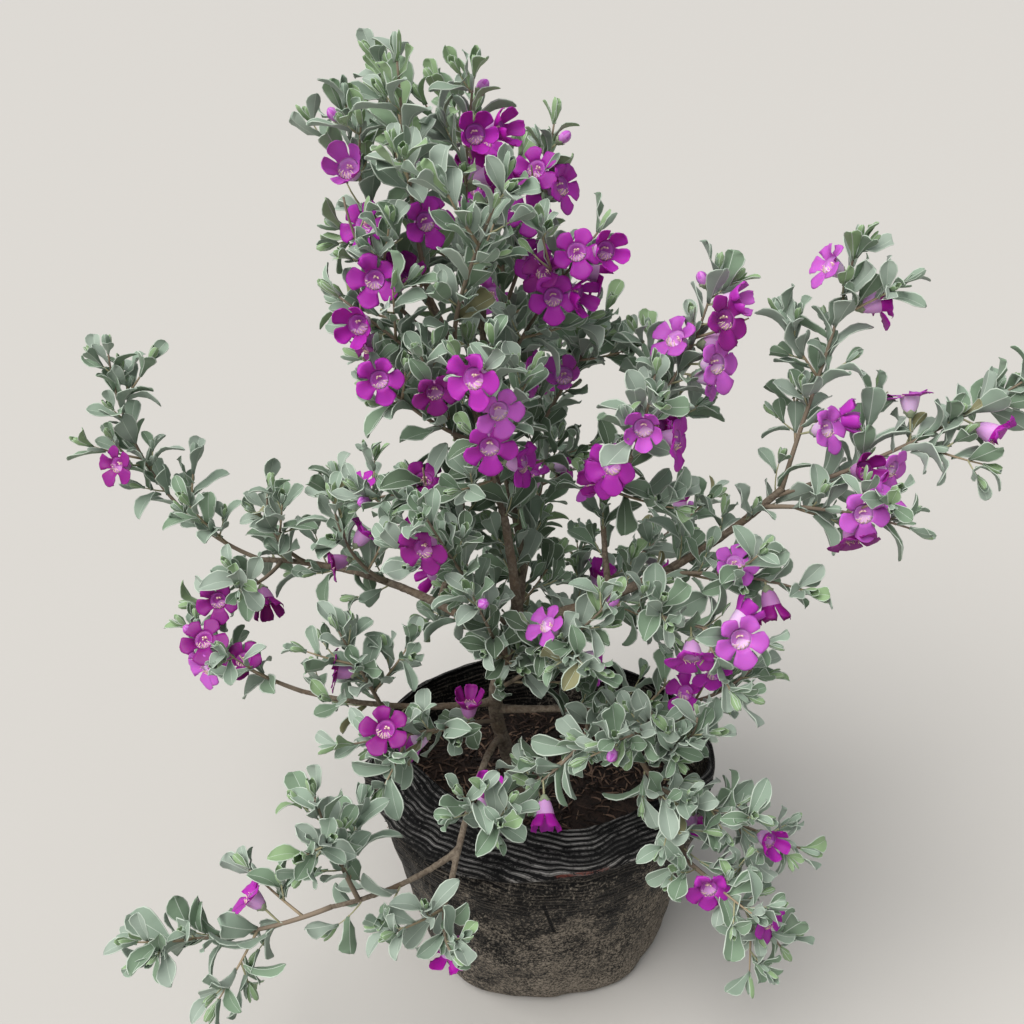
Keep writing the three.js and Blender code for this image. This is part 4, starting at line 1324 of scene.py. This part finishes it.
# %% Slots of wood and flowers
WOOD_TONES = ((124, 110, 94), (150, 134, 110), (158, 156, 122))
OLD_WOOD, YOUNG_WOOD, GREEN_WOOD = range(len(WOOD_TONES))

wood_finishes = [Finish(f"twig_{i}", paint(*tone), Roughness=0.82) for i, tone in enumerate(WOOD_TONES)]
flower_finishes = petal_finishes + [calyx_finish, stamen_finish]
calyx_slot, stamen_slot = len(petal_finishes), len(petal_finishes) + 1
flower_slots = {}
for i, tone in enumerate(PETAL_TONES):
    first = len(PETAL_PARTS) * i
    flower_slots[tone] = [*range(first, first + len(PETAL_PARTS)), calyx_slot, stamen_slot]
print("flower slots", flower_slots)

# %% [markdown]
# A spray grows in order: its stem, its twigs, its fine shoots, its flowers and, by chance, one bud
# near the tip. Stem and twigs are a little longer than in the solids, whose leaves reach further.
# A tube's mesh is given by its sides and the step between its rings.

# %% One spray
SPRAY_SEED = 900
TIP_GROWTH, TWIG_GROWTH, TWIG_LIFT = 12, 8, 10
STEM_RADII, TWIG_RADII, SHOOT_RADII = (1.6, 0.6), (1, 0.5), (0.7, 0.4)
STALK_RADII, BUD_STALK_RADII = (0.6, 0.8), (0.6, 0.6)
STEM_MESH, TWIG_MESH, SHOOT_MESH, STALK_MESH = (7, 7), (5, 7), (4, 6), (5, 4)
BARE_STEM, BARE_TWIG, BARE_SHOOT = 0.25, 0.2, 0.3
FLOWER_ROLLS, FLOWER_SIZES = (-20, 20), (0.88, 1.04)
BUD_CHANCE, BUD_PLACE, BUD_SPREAD, BUD_STALK, BUD_SIZE = 0.35, 0.9, 40, 5, 0.8
DEEP_SHARE, BRIGHT_SHARE = 0.25, 0.76
order = {row[0]: i for i, row in enumerate(SPRAYS)}


def grow_shoot(wood, foliage, shoot, roll, high, size):
    wood.add(tube(shoot, taper(*SHOOT_RADII), *SHOOT_MESH), slots=[GREEN_WOOD])
    leaves_on(foliage, shoot, BARE_SHOOT, roll, high, size)


def grow_flower(wood, blossom, flower, roll):
    foot, along, stalk, chance = flower
    wood.add(tube(stalk, taper(*STALK_RADII), *STALK_MESH), slots=[GREEN_WOOD])
    tone = "deep" if chance < DEEP_SHARE else "bright" if chance < BRIGHT_SHARE else "pale"
    shape = flower_shapes[int(chance * 97) % len(flower_shapes)]
    place = flower_place(foot, along, roll(*FLOWER_ROLLS))
    blossom.add(shape, place @ Matrix.Scale(roll(*FLOWER_SIZES), 4), flower_slots[tone])


def grow_bud(wood, blossom, stem, roll):
    root = stem.point(BUD_PLACE)
    along = stem.leaving(BUD_PLACE, BUD_SPREAD, 360 * roll())
    place = flower_place(root + along * (BUD_STALK + 1), along, 0) @ Matrix.Scale(BUD_SIZE, 4)
    blossom.add(bud_shape, place, flower_slots["pale"])
    stalk = Axis(root, bend_of(along), BUD_STALK)
    wood.add(tube(stalk, taper(*BUD_STALK_RADII), *STALK_MESH), slots=[GREEN_WOOD])


def grow_spray(wood, foliage, blossom, name, high):
    roll = dice(order[name] + SPRAY_SEED)
    stem = longer(stems[name], TIP_GROWTH)
    side_twigs = [longer(twig, TWIG_GROWTH, TWIG_LIFT) for twig in twigs[name]]
    spacing = SPACINGS.get(name, SHOOT_SPACING)
    fine = shoots_of(stem, roll, spacing, SHOOT_LENGTH, BARE_STEM)
    for twig in side_twigs:
        fine += shoots_of(twig, roll, spacing, SHOOT_LENGTH)
    fine += [Axis(stem.point(share), bend, length) for share, bend, length in MORE_SHOOTS.get(name, [])]
    wood.add(tube(stem, taper(*STEM_RADII), *STEM_MESH), slots=[OLD_WOOD])
    leaves_on(foliage, stem, BARE_STEM, roll, high)
    for twig in side_twigs:
        wood.add(tube(twig, taper(*TWIG_RADII), *TWIG_MESH), slots=[YOUNG_WOOD])
        leaves_on(foliage, twig, BARE_TWIG, roll, high)
    for shoot in fine:
        grow_shoot(wood, foliage, shoot, roll, high, 0.85)
    for flower in flowers[name]:
        grow_flower(wood, blossom, flower, roll)
    if roll() < BUD_CHANCE:
        grow_bud(wood, blossom, stem, roll)


print("longest stem", round(max(stem.length for stem in stems.values()) + TIP_GROWTH), "mm")

# %% [markdown]
# The sprays are grown in six regions, so that no piece has too many faces. A region becomes three
# pieces: its twigs, its leaves and its flowers, and each stands for the solid sprays it grew from.
# Some of the limbs carry leafy shoots as well, between the two shares that their rows give.

# %% Regions
LIMB_SEED = 1300
REGIONS = {
    "top": TOP, "crown": CROWN, "right": RIGHT, "middle": CENTRE + LEFT, "low": LOW, "back": BACK}
LEAFY_LIMBS = {
    "crown": [("leader_left", 0.22, 0.95), ("leader_right", 0.12, 0.95)],
    "right": [("right_bough", 0.3, 0.98), ("right_riser", 0.25, 0.95)],
    "middle": [("left_bough", 0.42, 0.98), ("left_riser", 0.2, 0.95), ("trunk", 0.72, 0.98)],
    "low": [("low_left_bough", 0.4, 0.95), ("low_right_bough", 0.35, 0.95),
            ("right_front_bough", 0.25, 1), ("right_front_bough", 0.5, 1),
            ("front_left_bough", 0.45, 0.9)],
    "back": [("trunk", 0.6, 0.9), ("leader_right", 0.1, 0.5)],
}
LIMB_SHOOT_SPACING, LIMB_SHOOT_LENGTH, LIMB_SHOOT_LIFT = 13, 24, 26


def grow_region(region, rows):
    """Makes the three pieces of a region and says how many leaves it has."""
    wood, foliage, blossom = Heap(), Heap(), Heap()
    high = region == "top"
    nodes = [row[0] for row in rows]
    for name in nodes:
        grow_spray(wood, foliage, blossom, name, high)
    for number, (limb, low, far) in enumerate(LEAFY_LIMBS.get(region, [])):
        roll = dice(number + LIMB_SEED + len(rows))
        shoots = shoots_of(
            limbs[limb][0], roll, LIMB_SHOOT_SPACING, LIMB_SHOOT_LENGTH, low, far, LIMB_SHOOT_LIFT)
        for shoot in shoots:
            grow_shoot(wood, foliage, shoot, roll, high, 0.95)
    stand_for(wood.make(f"twigs_{region}", wood_finishes), nodes)
    stand_for(foliage.make(f"leaves_{region}", LEAF_FINISHES), nodes)
    stand_for(blossom.make(f"flowers_{region}", flower_finishes), nodes)
    return foliage.copies


leaf_counts = {region: grow_region(region, rows) for region, rows in REGIONS.items()}
print("leaves", leaf_counts, "in all", sum(leaf_counts.values()))

# %% [markdown]
# ## The grow bag
# The bag is thin black film round a block of potting mix. It is drawn from a circle at the foot up
# to the fold and on to the inner edge of the collar, ring by ring, and closely where the film is
# ribbed. Smaller rings close the foot. Then the bag is settled: oval, swollen by the mix, and with
# its collar turned in. A cloth simulation could do that too, but it wouldn't fold the film where
# the real bag has its folds.

# %% Bag shell
BAG_COLUMNS = 60
WALL_FROM, WALL_STEP, RIBS_FROM, RIB_STEP = 20, 10, 110, 3.4
FOOT_RINGS = [(80, 0), (85, 0.8), (88.5, 3), (91, 7), (92.5, 12)]
FOOT_CLOSING = [80, 60, 40, 20, 6]
LOWER_WALL, UPPER_WALL = (90, 5), (100, 8.2)
COLLAR_RINGS, COLLAR_RUN, COLLAR_RISE = 12, 4, 2


def wall_radius(z):
    """The wall leans out by 1 mm in so many, and less towards the rim."""
    return min(LOWER_WALL[0] + z / LOWER_WALL[1], UPPER_WALL[0] + z / UPPER_WALL[1])


def close_inwards(radii):
    """In edit mode on a chosen ring, draws smaller and smaller rings inside it and closes the last."""
    for radius, inner in zip(radii, radii[1:]):
        bpy.ops.mesh.extrude_region_move()
        bpy.ops.transform.resize(value=(inner / radius, inner / radius, 1), center_override=ORIGIN)
    bpy.ops.mesh.edge_face_add()


def turn_outwards():
    """In edit mode, turns every face outwards and goes back to object mode."""
    bpy.ops.mesh.select_all(action="SELECT")
    bpy.ops.mesh.normals_make_consistent(inside=False)
    bpy.ops.object.mode_set(mode="OBJECT")


plain_heights = range(WALL_FROM, RIBS_FROM, WALL_STEP)
ribbed_heights = np.arange(RIBS_FROM, RIM_HEIGHT - 1, RIB_STEP).tolist()
wall_rings = [(wall_radius(z), z) for z in (*plain_heights, *ribbed_heights)]
collar_rings = [(BAG_RIM - COLLAR_RUN * i / COLLAR_RINGS, RIM_HEIGHT + COLLAR_RISE * i / COLLAR_RINGS)
                for i in range(COLLAR_RINGS + 1)]
bag_rings = [(r * MM, z * MM) for r, z in FOOT_RINGS + wall_rings + collar_rings]

bpy.ops.object.select_all(action="DESELECT")
bpy.ops.mesh.primitive_circle_add(vertices=BAG_COLUMNS, radius=bag_rings[0][0], location=ORIGIN)
bag = bpy.context.object
bag.name = "bag"
bpy.ops.object.mode_set(mode="EDIT")
draw_rings(bag_rings, 0.01 * MM)
choose(lambda p: p.z < 0.1 * MM)
close_inwards(FOOT_CLOSING)
turn_outwards()
print("bag rings", len(bag_rings), "faces", len(bag.data.polygons))

# %% [markdown]
# The film's shape is worked out from the angle round the bag and the way along the film. Ribs run
# along the lip and fade down the wall, where soft dents, creases and the lumps of the mix take over.
# A pleat with a hollow beside it stands off at the left, and the wall is drawn in below the fold.

# %% Ribs and dents of the film
RIB_PITCH, RIB_DEPTH, RIB_FADE = 3.6, 0.9, 32
CORNER_LUMP, WIDE_LUMP, SMALL_LUMP, CREASE = 2.6, 3.4, 2.4, 1.5
FOOT_LUMP, FOOT_DENT, FOOT_RUN = 9, 2, 30
FLUTE, FLUTE_RUN = 2.2, 22
PLEAT, PLEAT_HEADING, PLEAT_WIDTH, PLEAT_FROM, PLEAT_RUN = 8, 188, 3.5, 70, 80
HOLLOW_SHARE, HOLLOW_AWAY, HOLLOW_WIDTH = 0.6, 9, 4
NECK, NECK_PLACE, NECK_WIDTH = 4.5, 9, 5
LIP, LIP_WIDTH = 1.2, 2.5
BELLY_TOP = 0.96


def ribs_at(c, s, plain_way, below):
    """The way along the film with its wander, how strongly it is ribbed, and the rib's height."""
    wander = 6 * ripple(2.2 * c, 2.2 * s, plain_way / 70)
    way = plain_way + wander + 2 * ripple(7 * c, 7 * s, plain_way / 14)
    uneven = min(max(0.8 + 1.3 * ripple(5 * c, 5 * s, plain_way / 9), 0.15), 1.2)
    strength = math.exp(-below / RIB_FADE) * uneven
    rib = RIB_DEPTH * strength * (0.5 + 0.5 * math.sin(math.tau * way / RIB_PITCH)) ** 1.5
    return way, strength, rib


def lumps_at(angle, z):
    """How far the mix swells the wall, less its creases, and how uneven the foot is."""
    c, s = math.cos(angle), math.sin(angle)
    level = min(z / RIM_HEIGHT, 1)
    belly = math.sin(math.pi * min(level / BELLY_TOP, 1)) ** 0.5 if level < BELLY_TOP else 0
    crease = noise.ridged_multi_fractal(
        Vector((3.2 * c, 3.2 * s, z / 34 + 0.6 * angle)), 0.9, 2.1, 4, 1, 2)
    swell = CORNER_LUMP * math.sin(3 * angle + 0.8) + WIDE_LUMP * ripple(1.6 * c + 7, 1.6 * s, z / 55)
    swell = belly * (swell + SMALL_LUMP * ripple(6 * c, 6 * s, z / 26) - CREASE * (crease - 1))
    foot = FOOT_LUMP * ripple(1.7 * c, 1.7 * s, 4) + FOOT_DENT * ripple(5 * c, 5 * s, 6)
    return swell + math.exp(-z / FOOT_RUN) * foot


def rim_at(angle, z, below, part, tuck, wide):
    """How far the flutes, the pleat and the lip stand out near the rim, less the drawn-in neck."""
    c, s = math.cos(angle), math.sin(angle)
    push = FLUTE * tuck * math.exp(-below / FLUTE_RUN) * ripple(11 * c, 11 * s, z / 60) * (1 - part)
    pleat = PLEAT * bump_at(angle, PLEAT_HEADING, PLEAT_WIDTH)
    pleat -= HOLLOW_SHARE * PLEAT * bump_at(angle, PLEAT_HEADING + HOLLOW_AWAY, HOLLOW_WIDTH)
    push += min(max((z - PLEAT_FROM) / PLEAT_RUN, 0), 1) ** 2 * (1 - part) * pleat
    if below > 0:
        push -= NECK * tuck * (0.25 + wide) * math.exp(-((below - NECK_PLACE) / NECK_WIDTH) ** 2)
    return push + LIP * tuck * math.exp(-(below / LIP_WIDTH) ** 2) * (1 - part)


print("ribs are", RIB_PITCH, "mm apart")

# %% [markdown]
# All of that pushes the film out or in. On the collar, which is turned over and lies nearly flat,
# the ribs stand up more than out. The way along the film, the strength of the ribs and the way from
# the fold are written on the mesh too, because the bag's finish reads them.

# %% Settling the bag
FOLD_DROP, TUCK_DROP, UNEVEN_DROP = 15, 5, 3
UNEVEN_TUCK = 1.6
FOLD_WIDTH, FOLD_RISE = 7, 1.2
EDGE_RISE, UNEVEN_RISE = 1.5, 2
RIB_UP, RIB_OUT = 0.85, 0.4
FAR_ALONG, FAR_BELOW = 999, 99
SINK_FROM = 0.55
FILM_THICKNESS = 0.9

more = bag.modifiers.new("more", "SUBSURF")
more.levels = more.render_levels = 2
pick(bag)
apply_all(bag)


def settle_film(point):
    """Where the film lies at a point of the round bag, its way along the film from the inner edge,
    how strongly it is ribbed there, and its way from the fold, which is below 0 on the collar."""
    x, y, z = point
    radius, angle = math.hypot(x, y), math.atan2(y, x)
    if radius < 1:
        return point, FAR_ALONG, 0, FAR_BELOW
    c, s = math.cos(angle), math.sin(angle)
    tuck, wide = tuck_at(angle), bump_at(angle, *WIDE_FOLD)
    reach = COLLAR_RUN + COLLAR_TUCK * tuck + WIDE_FOLD_TUCK * wide
    reach += UNEVEN_TUCK * ripple(3 * c, 3 * s, 5) * tuck
    drop = FOLD_DROP * wide + TUCK_DROP * tuck + UNEVEN_DROP * tuck * ripple(4 * c, 4 * s, 2)
    width = math.hypot(reach, drop)
    part = min(max((z - RIM_HEIGHT) / COLLAR_RISE, 0), 1)
    below = max(RIM_HEIGHT - z, 0)
    way, strength, rib = ribs_at(c, s, width * (1 - part) + below, below)
    push = lumps_at(angle, z) + rim_at(angle, z, below, part, tuck, wide)
    sink = drop * (max(min(z / RIM_HEIGHT, 1) - SINK_FROM, 0) / (1 - SINK_FROM)) ** 2
    rise = 0
    if part > 0:
        round_over = math.sin(math.pi * min(part * width / FOLD_WIDTH, 1)) * FOLD_RISE * tuck
        rise = drop * part ** 0.85 + round_over + EDGE_RISE * part
        rise += UNEVEN_RISE * tuck * part * ripple(2 * c, 2 * s, 9)
        rise += RIB_UP * rib
        push += RIB_OUT * rib - reach * part
    else:
        push += rib
    out = radius + COLLAR_RUN * part + push
    place = Vector((c * out, s * out * BAG_DEPTH, max(min(z, RIM_HEIGHT) - sink + rise, 0)))
    return place, way, strength, below if part == 0 else -part * width


settled = [settle_film(corner.co / MM) for corner in bag.data.vertices]
for corner, (place, *_) in zip(bag.data.vertices, settled):
    corner.co = place * MM
for name, values in zip(("way", "ribbed", "fold"), list(zip(*settled))[1:]):
    bag.data.attributes.new(name, "FLOAT", "POINT").data.foreach_set("value", values)
thicken(bag, FILM_THICKNESS * MM, -1)
bag.data.shade_smooth()
stand_for(bag, ["grow_bag"])

# %% [markdown]
# Black polythene is dark, and dust takes most of its gloss. It lies as a mottled grey-tan film,
# thicker towards the ground, and a pale line of it stays on the ridge of each rib. The grooves
# between are painted near black as shade. The values written along the film say where the ribs
# and the fold are.

# %% Patterns on the film
bag_finish = Finish("black_film", paint(20, 20, 21), **{"Specular IOR Level": 0.09})


def read_value(name):
    """A value that was written on the mesh, as the factor of an Attribute node."""
    return bag_finish.node("ShaderNodeAttribute", {"attribute_name": name}, None, "Fac")


way, ribbed, fold = read_value("way"), read_value("ribbed"), read_value("fold")
across, height = bag_finish.axis(0), bag_finish.axis(2)
cloud = bag_finish.grain(30, 6, 0.68, warp=0.5)
mottle = bag_finish.grain(7, 8, 0.75, warp=0.4)
speck = bag_finish.grain(1.8, 4, 0.8)
streak = bag_finish.grain(4, 4, 0.65, scale=(0.2, 0.2, 1.5))
scratch = bag_finish.grain(3.4, 3, 0.6, scale=(1.6, 1.6, 0.14), warp=0.5).step(0.62, 0.68)
on_wall = fold.step(-6, 14)
haze = (cloud * 0.6 + mottle * 0.5 + speck * 1.1 - height * 0.0012).step(0.94, 1.2)
dust = (mottle * 0.6 + speck * 1.2 + cloud * 1.1 + across * 0.0006 - height * 0.0022).step(1.15, 1.52)
phase = way * (math.tau / RIB_PITCH)
wave = phase.maths("SINE", phase)
broad = wave.step(0.5, 0.97)
fine = phase.maths("SINE", phase * 2 + 2).step(0.6, 1)
rib_line = (broad + fine * 0.5) * ribbed * (streak * 1.4 + speck * 0.9).step(0.95, 1.35) * 1.4
print("nodes for the patterns", len(bag_finish.tree.nodes))

# %% [markdown]
# The colours go over each other in this order: the grey haze of old film, dust, painted shade
# that keeps the grooves black, and pale ridges. Last come a small tear in the front and, on the fold
# above it, a torn edge that shows reddish.

# %% Bag finish
TORN_FROM, TORN_TO = 4, 40
TEAR_ACROSS, TEAR_HEIGHT, TEAR_SLANT = 3, 112, 0.22

tan = bag_finish.blend(speck.step(0.36, 0.62), full(paint(66, 61, 56)), full(paint(150, 140, 126)))
grey = bag_finish.blend(
    haze * (on_wall * 0.65 + 0.15), full(paint(11, 11, 12)), full(paint(74, 73, 71)))
dusty = bag_finish.blend((dust * 0.85 + scratch * 0.3) * on_wall, grey, tan)
# Painted shade: the grooves between the ribs are darkened nearly to black.
hollow = (1 - wave.step(-0.9, -0.1)) * ribbed * (streak * 1.2 + cloud * 0.6).step(0.75, 1.05)
groove_shaded = bag_finish.blend(hollow * 0.75, dusty, full(paint(13, 13, 13)))
ridge = bag_finish.blend(on_wall, full(paint(138, 136, 134)), full(paint(132, 123, 112)))
lined = bag_finish.blend(rib_line * 0.8, groove_shaded, ridge)
front = 1 - bag_finish.axis(1).step(-1, 1)
slit = across - TEAR_ACROSS + (height - TEAR_HEIGHT) * TEAR_SLANT + mottle * 3 - 1.5
tear = (1 - (slit * slit).step(0.4, 2)) * height.step(95, 99) * (1 - height.step(130, 134)) * front
torn = (1 - (fold * fold).step(0.3, 1.6)) * across.step(TORN_FROM, TORN_FROM + 3)
torn = torn * (1 - across.step(TORN_TO - 3, TORN_TO)) * front * (speck + streak).step(0.9, 1.1)
worn = bag_finish.blend(tear, lined, full(paint(12, 12, 13)))
bag_finish.set(
    Base_Color=bag_finish.blend(torn * 0.8, worn, full(paint(104, 56, 48))),
    Roughness=(dust * 0.35 + haze * 0.15) * on_wall + 0.48,
    Normal=bag_finish.relief(streak * 0.5 + speck * 0.6 + mottle * 0.9 + rib_line * 0.3 - tear, 1.1))
bag.data.materials.append(bag_finish.material)
print("nodes in the bag's finish", len(bag_finish.tree.nodes))

# %% [markdown]
# ## Potting mix
# The mix is dark, moist and fibrous. Its surface is a lumpy disc on a plain block, drawn in rings
# from a circle, and it follows the settled film with a small gap. The lumps are in the mesh, where
# they catch the light and hide each other, and the finish adds finer ones to them.

# %% Soil block
SOIL_RADIUS, SOIL_DEPTH, SOIL_STEP = 113.8, 100, 2.4
SOIL_SIDES, SOIL_FOOT, SOIL_GAP = 96, 0.74, 1.5
EDGE_HEAP, LUMP, CRUMB, GRAIN = 2, 2.2, 1.1, 0.6
soil_radii = [SOIL_RADIUS]
while soil_radii[-1] > SOIL_STEP * 1.5:
    soil_radii.append(soil_radii[-1] - SOIL_STEP)

bpy.ops.object.select_all(action="DESELECT")
bpy.ops.mesh.primitive_circle_add(vertices=SOIL_SIDES, radius=SOIL_RADIUS * MM, location=ORIGIN)
soil = bpy.context.object
soil.name = "soil_mix"
bpy.ops.object.mode_set(mode="EDIT")
choose(lambda p: True)
bpy.ops.mesh.extrude_region_move(TRANSFORM_OT_translate={"value": (0, 0, -SOIL_DEPTH * MM)})
bpy.ops.transform.resize(value=(SOIL_FOOT, SOIL_FOOT, 1), center_override=ORIGIN)
bpy.ops.mesh.edge_face_add()
choose(lambda p: p.z > -MM)
close_inwards(soil_radii)
turn_outwards()


def soil_height(x, y):
    """The height of the mix, a little higher round the edge, with lumps and crumbs."""
    radius = math.hypot(x, y / BAG_DEPTH)
    heap = EDGE_HEAP * min(radius / 100, 1) ** 2
    lump = LUMP * ripple(x / 26, y / 26, 3)
    crumb = CRUMB * ripple(x / 7, y / 7, 8) + GRAIN * ripple(x / 3, y / 3, 1)
    return SOIL_TOP + heap + lump + crumb


def film_share(x, y):
    """How much wider or narrower the settled film is than the round soil there."""
    scale = SOIL_RADIUS / max(math.hypot(x, y), 0.1)
    place = settle_film((x * scale, y * scale, SOIL_TOP))[0]
    return (math.hypot(place.x, place.y / BAG_DEPTH) - SOIL_GAP) / SOIL_RADIUS


for corner in soil.data.vertices:
    x, y, z = corner.co / MM
    share = film_share(x, y)
    x, y = x * share, y * share * BAG_DEPTH
    z = soil_height(x, y) if z > -1 else z + SOIL_TOP
    corner.co = Vector((x, y, z)) * MM
soil.data.shade_smooth()
stand_for(soil, ["soil"])

# %% [markdown]
# About two thousand slivers of husk and coir lie on the mix at all angles, in four browns. They
# leave a clear ring round the trunk and are fewer at the front right, where the mix is finer. Each
# is a mesh of its own shape, because a painted sliver wouldn't stand off the mix.

# %% Fibres
FIBRE_SEED = 77
FIBRES, FIBRE_FIELD, TRUNK_RING = 2300, 108, 9
FINE_FROM, FINE_SHARE = 20, 0.6
FIBRE_SEGMENTS, FIBRE_SHAPE, FIBRE_TAPER, FIBRE_ARCH = 3, (1, 0.1, 0.05), (0.35, 0.5), 0.08
HUSK_LENGTHS, HUSK_LEANS, HUSK_LIFTS, HUSK_WIDTHS = (6, 16), (-14, 14), (0.2, 1.2), (7, 14)
HUSK_TONES = ((78, 59, 49), (122, 98, 82), (32, 23, 19), (52, 38, 32))


def model_fibre(bow):
    """A bent sliver of husk, one unit long on +X."""
    bpy.ops.mesh.primitive_cube_add(size=1, location=ORIGIN)
    shape = blank(1)
    shape.scale = FIBRE_SHAPE
    bpy.ops.object.transform_apply(scale=True)
    bpy.ops.object.mode_set(mode="EDIT")
    for i in range(1, FIBRE_SEGMENTS):
        bpy.ops.mesh.select_all(action="SELECT")
        bpy.ops.mesh.bisect(plane_co=(i / FIBRE_SEGMENTS - 0.5, 0, 0), plane_no=(1, 0, 0))
        bpy.ops.transform.translate(value=(0, bow, FIBRE_ARCH))
    for end in (-0.5, 0.5):
        choose(lambda p: abs(p.x - end) < 0.01)
        bpy.ops.transform.resize(value=(1, *FIBRE_TAPER), center_override=(end, 0, 0))
    bpy.ops.object.mode_set(mode="OBJECT")
    return take(shape)


husk_shapes = [model_fibre(0.02), model_fibre(0.1), model_fibre(-0.07)]
fibres = Heap()
roll = dice(FIBRE_SEED)
for i in range(FIBRES):
    angle, radius = roll(0, math.tau), FIBRE_FIELD * math.sqrt(roll())
    x, y = radius * math.cos(angle), radius * math.sin(angle) * BAG_DEPTH
    left_out = x > FINE_FROM and y < 0 and roll() < FINE_SHARE
    if math.hypot(x - TRUNK_FOOT[0], y) < TRUNK_RING or left_out:
        continue
    length, lean = roll(*HUSK_LENGTHS), roll(*HUSK_LEANS)
    place = Matrix.Translation((x, y, soil_height(x, y) + roll(*HUSK_LIFTS)))
    turn = Matrix.Rotation(roll(0, math.tau), 4, "Z") @ turned(lean, "Y")
    thick = roll(*HUSK_WIDTHS)
    size = Matrix.Diagonal((length, thick, thick, 1))
    fibres.add(husk_shapes[i % len(husk_shapes)], place @ turn @ size, (int(roll() * 3.999),))
husks = [Finish(f"husk_{i}", paint(*tone), Roughness=0.85) for i, tone in enumerate(HUSK_TONES)]
stand_for(fibres.make("husk_fibres", husks), ["soil"])

# %% [markdown]
# The mix changes only between a dark and a lighter brown, in clods and in crumbs, and both also
# stand up in its relief. The lighter brown lies on their raised tops as painted light. It is matt
# all over.

# %% Finish of the mix
soil_finish = Finish("potting_mix", paint(58, 42, 34), Roughness=0.95)
clods = soil_finish.grain(9, 5, 0.7)
crumbs = soil_finish.grain(2, 4, 0.75)
# Painted light: the lighter brown goes where the relief stands highest.
lit = (clods * 0.6 + crumbs * 0.5).step(0.42, 0.66)
soil_finish.set(
    Base_Color=soil_finish.blend(lit, full(paint(22, 15, 12)), full(paint(62, 46, 38))),
    Normal=soil_finish.relief(crumbs + clods * 0.5, 1.6))
soil.data.materials.append(soil_finish.material)
print("nodes in the finish of the mix", len(soil_finish.tree.nodes))

# %% [markdown]
# The last cell measures the finished shrub and prints its box.

# %% Sizes
visual_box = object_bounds()
for side, low, high in zip("xyz", *visual_box):
    print(side, round(low, 3), round(high, 3))
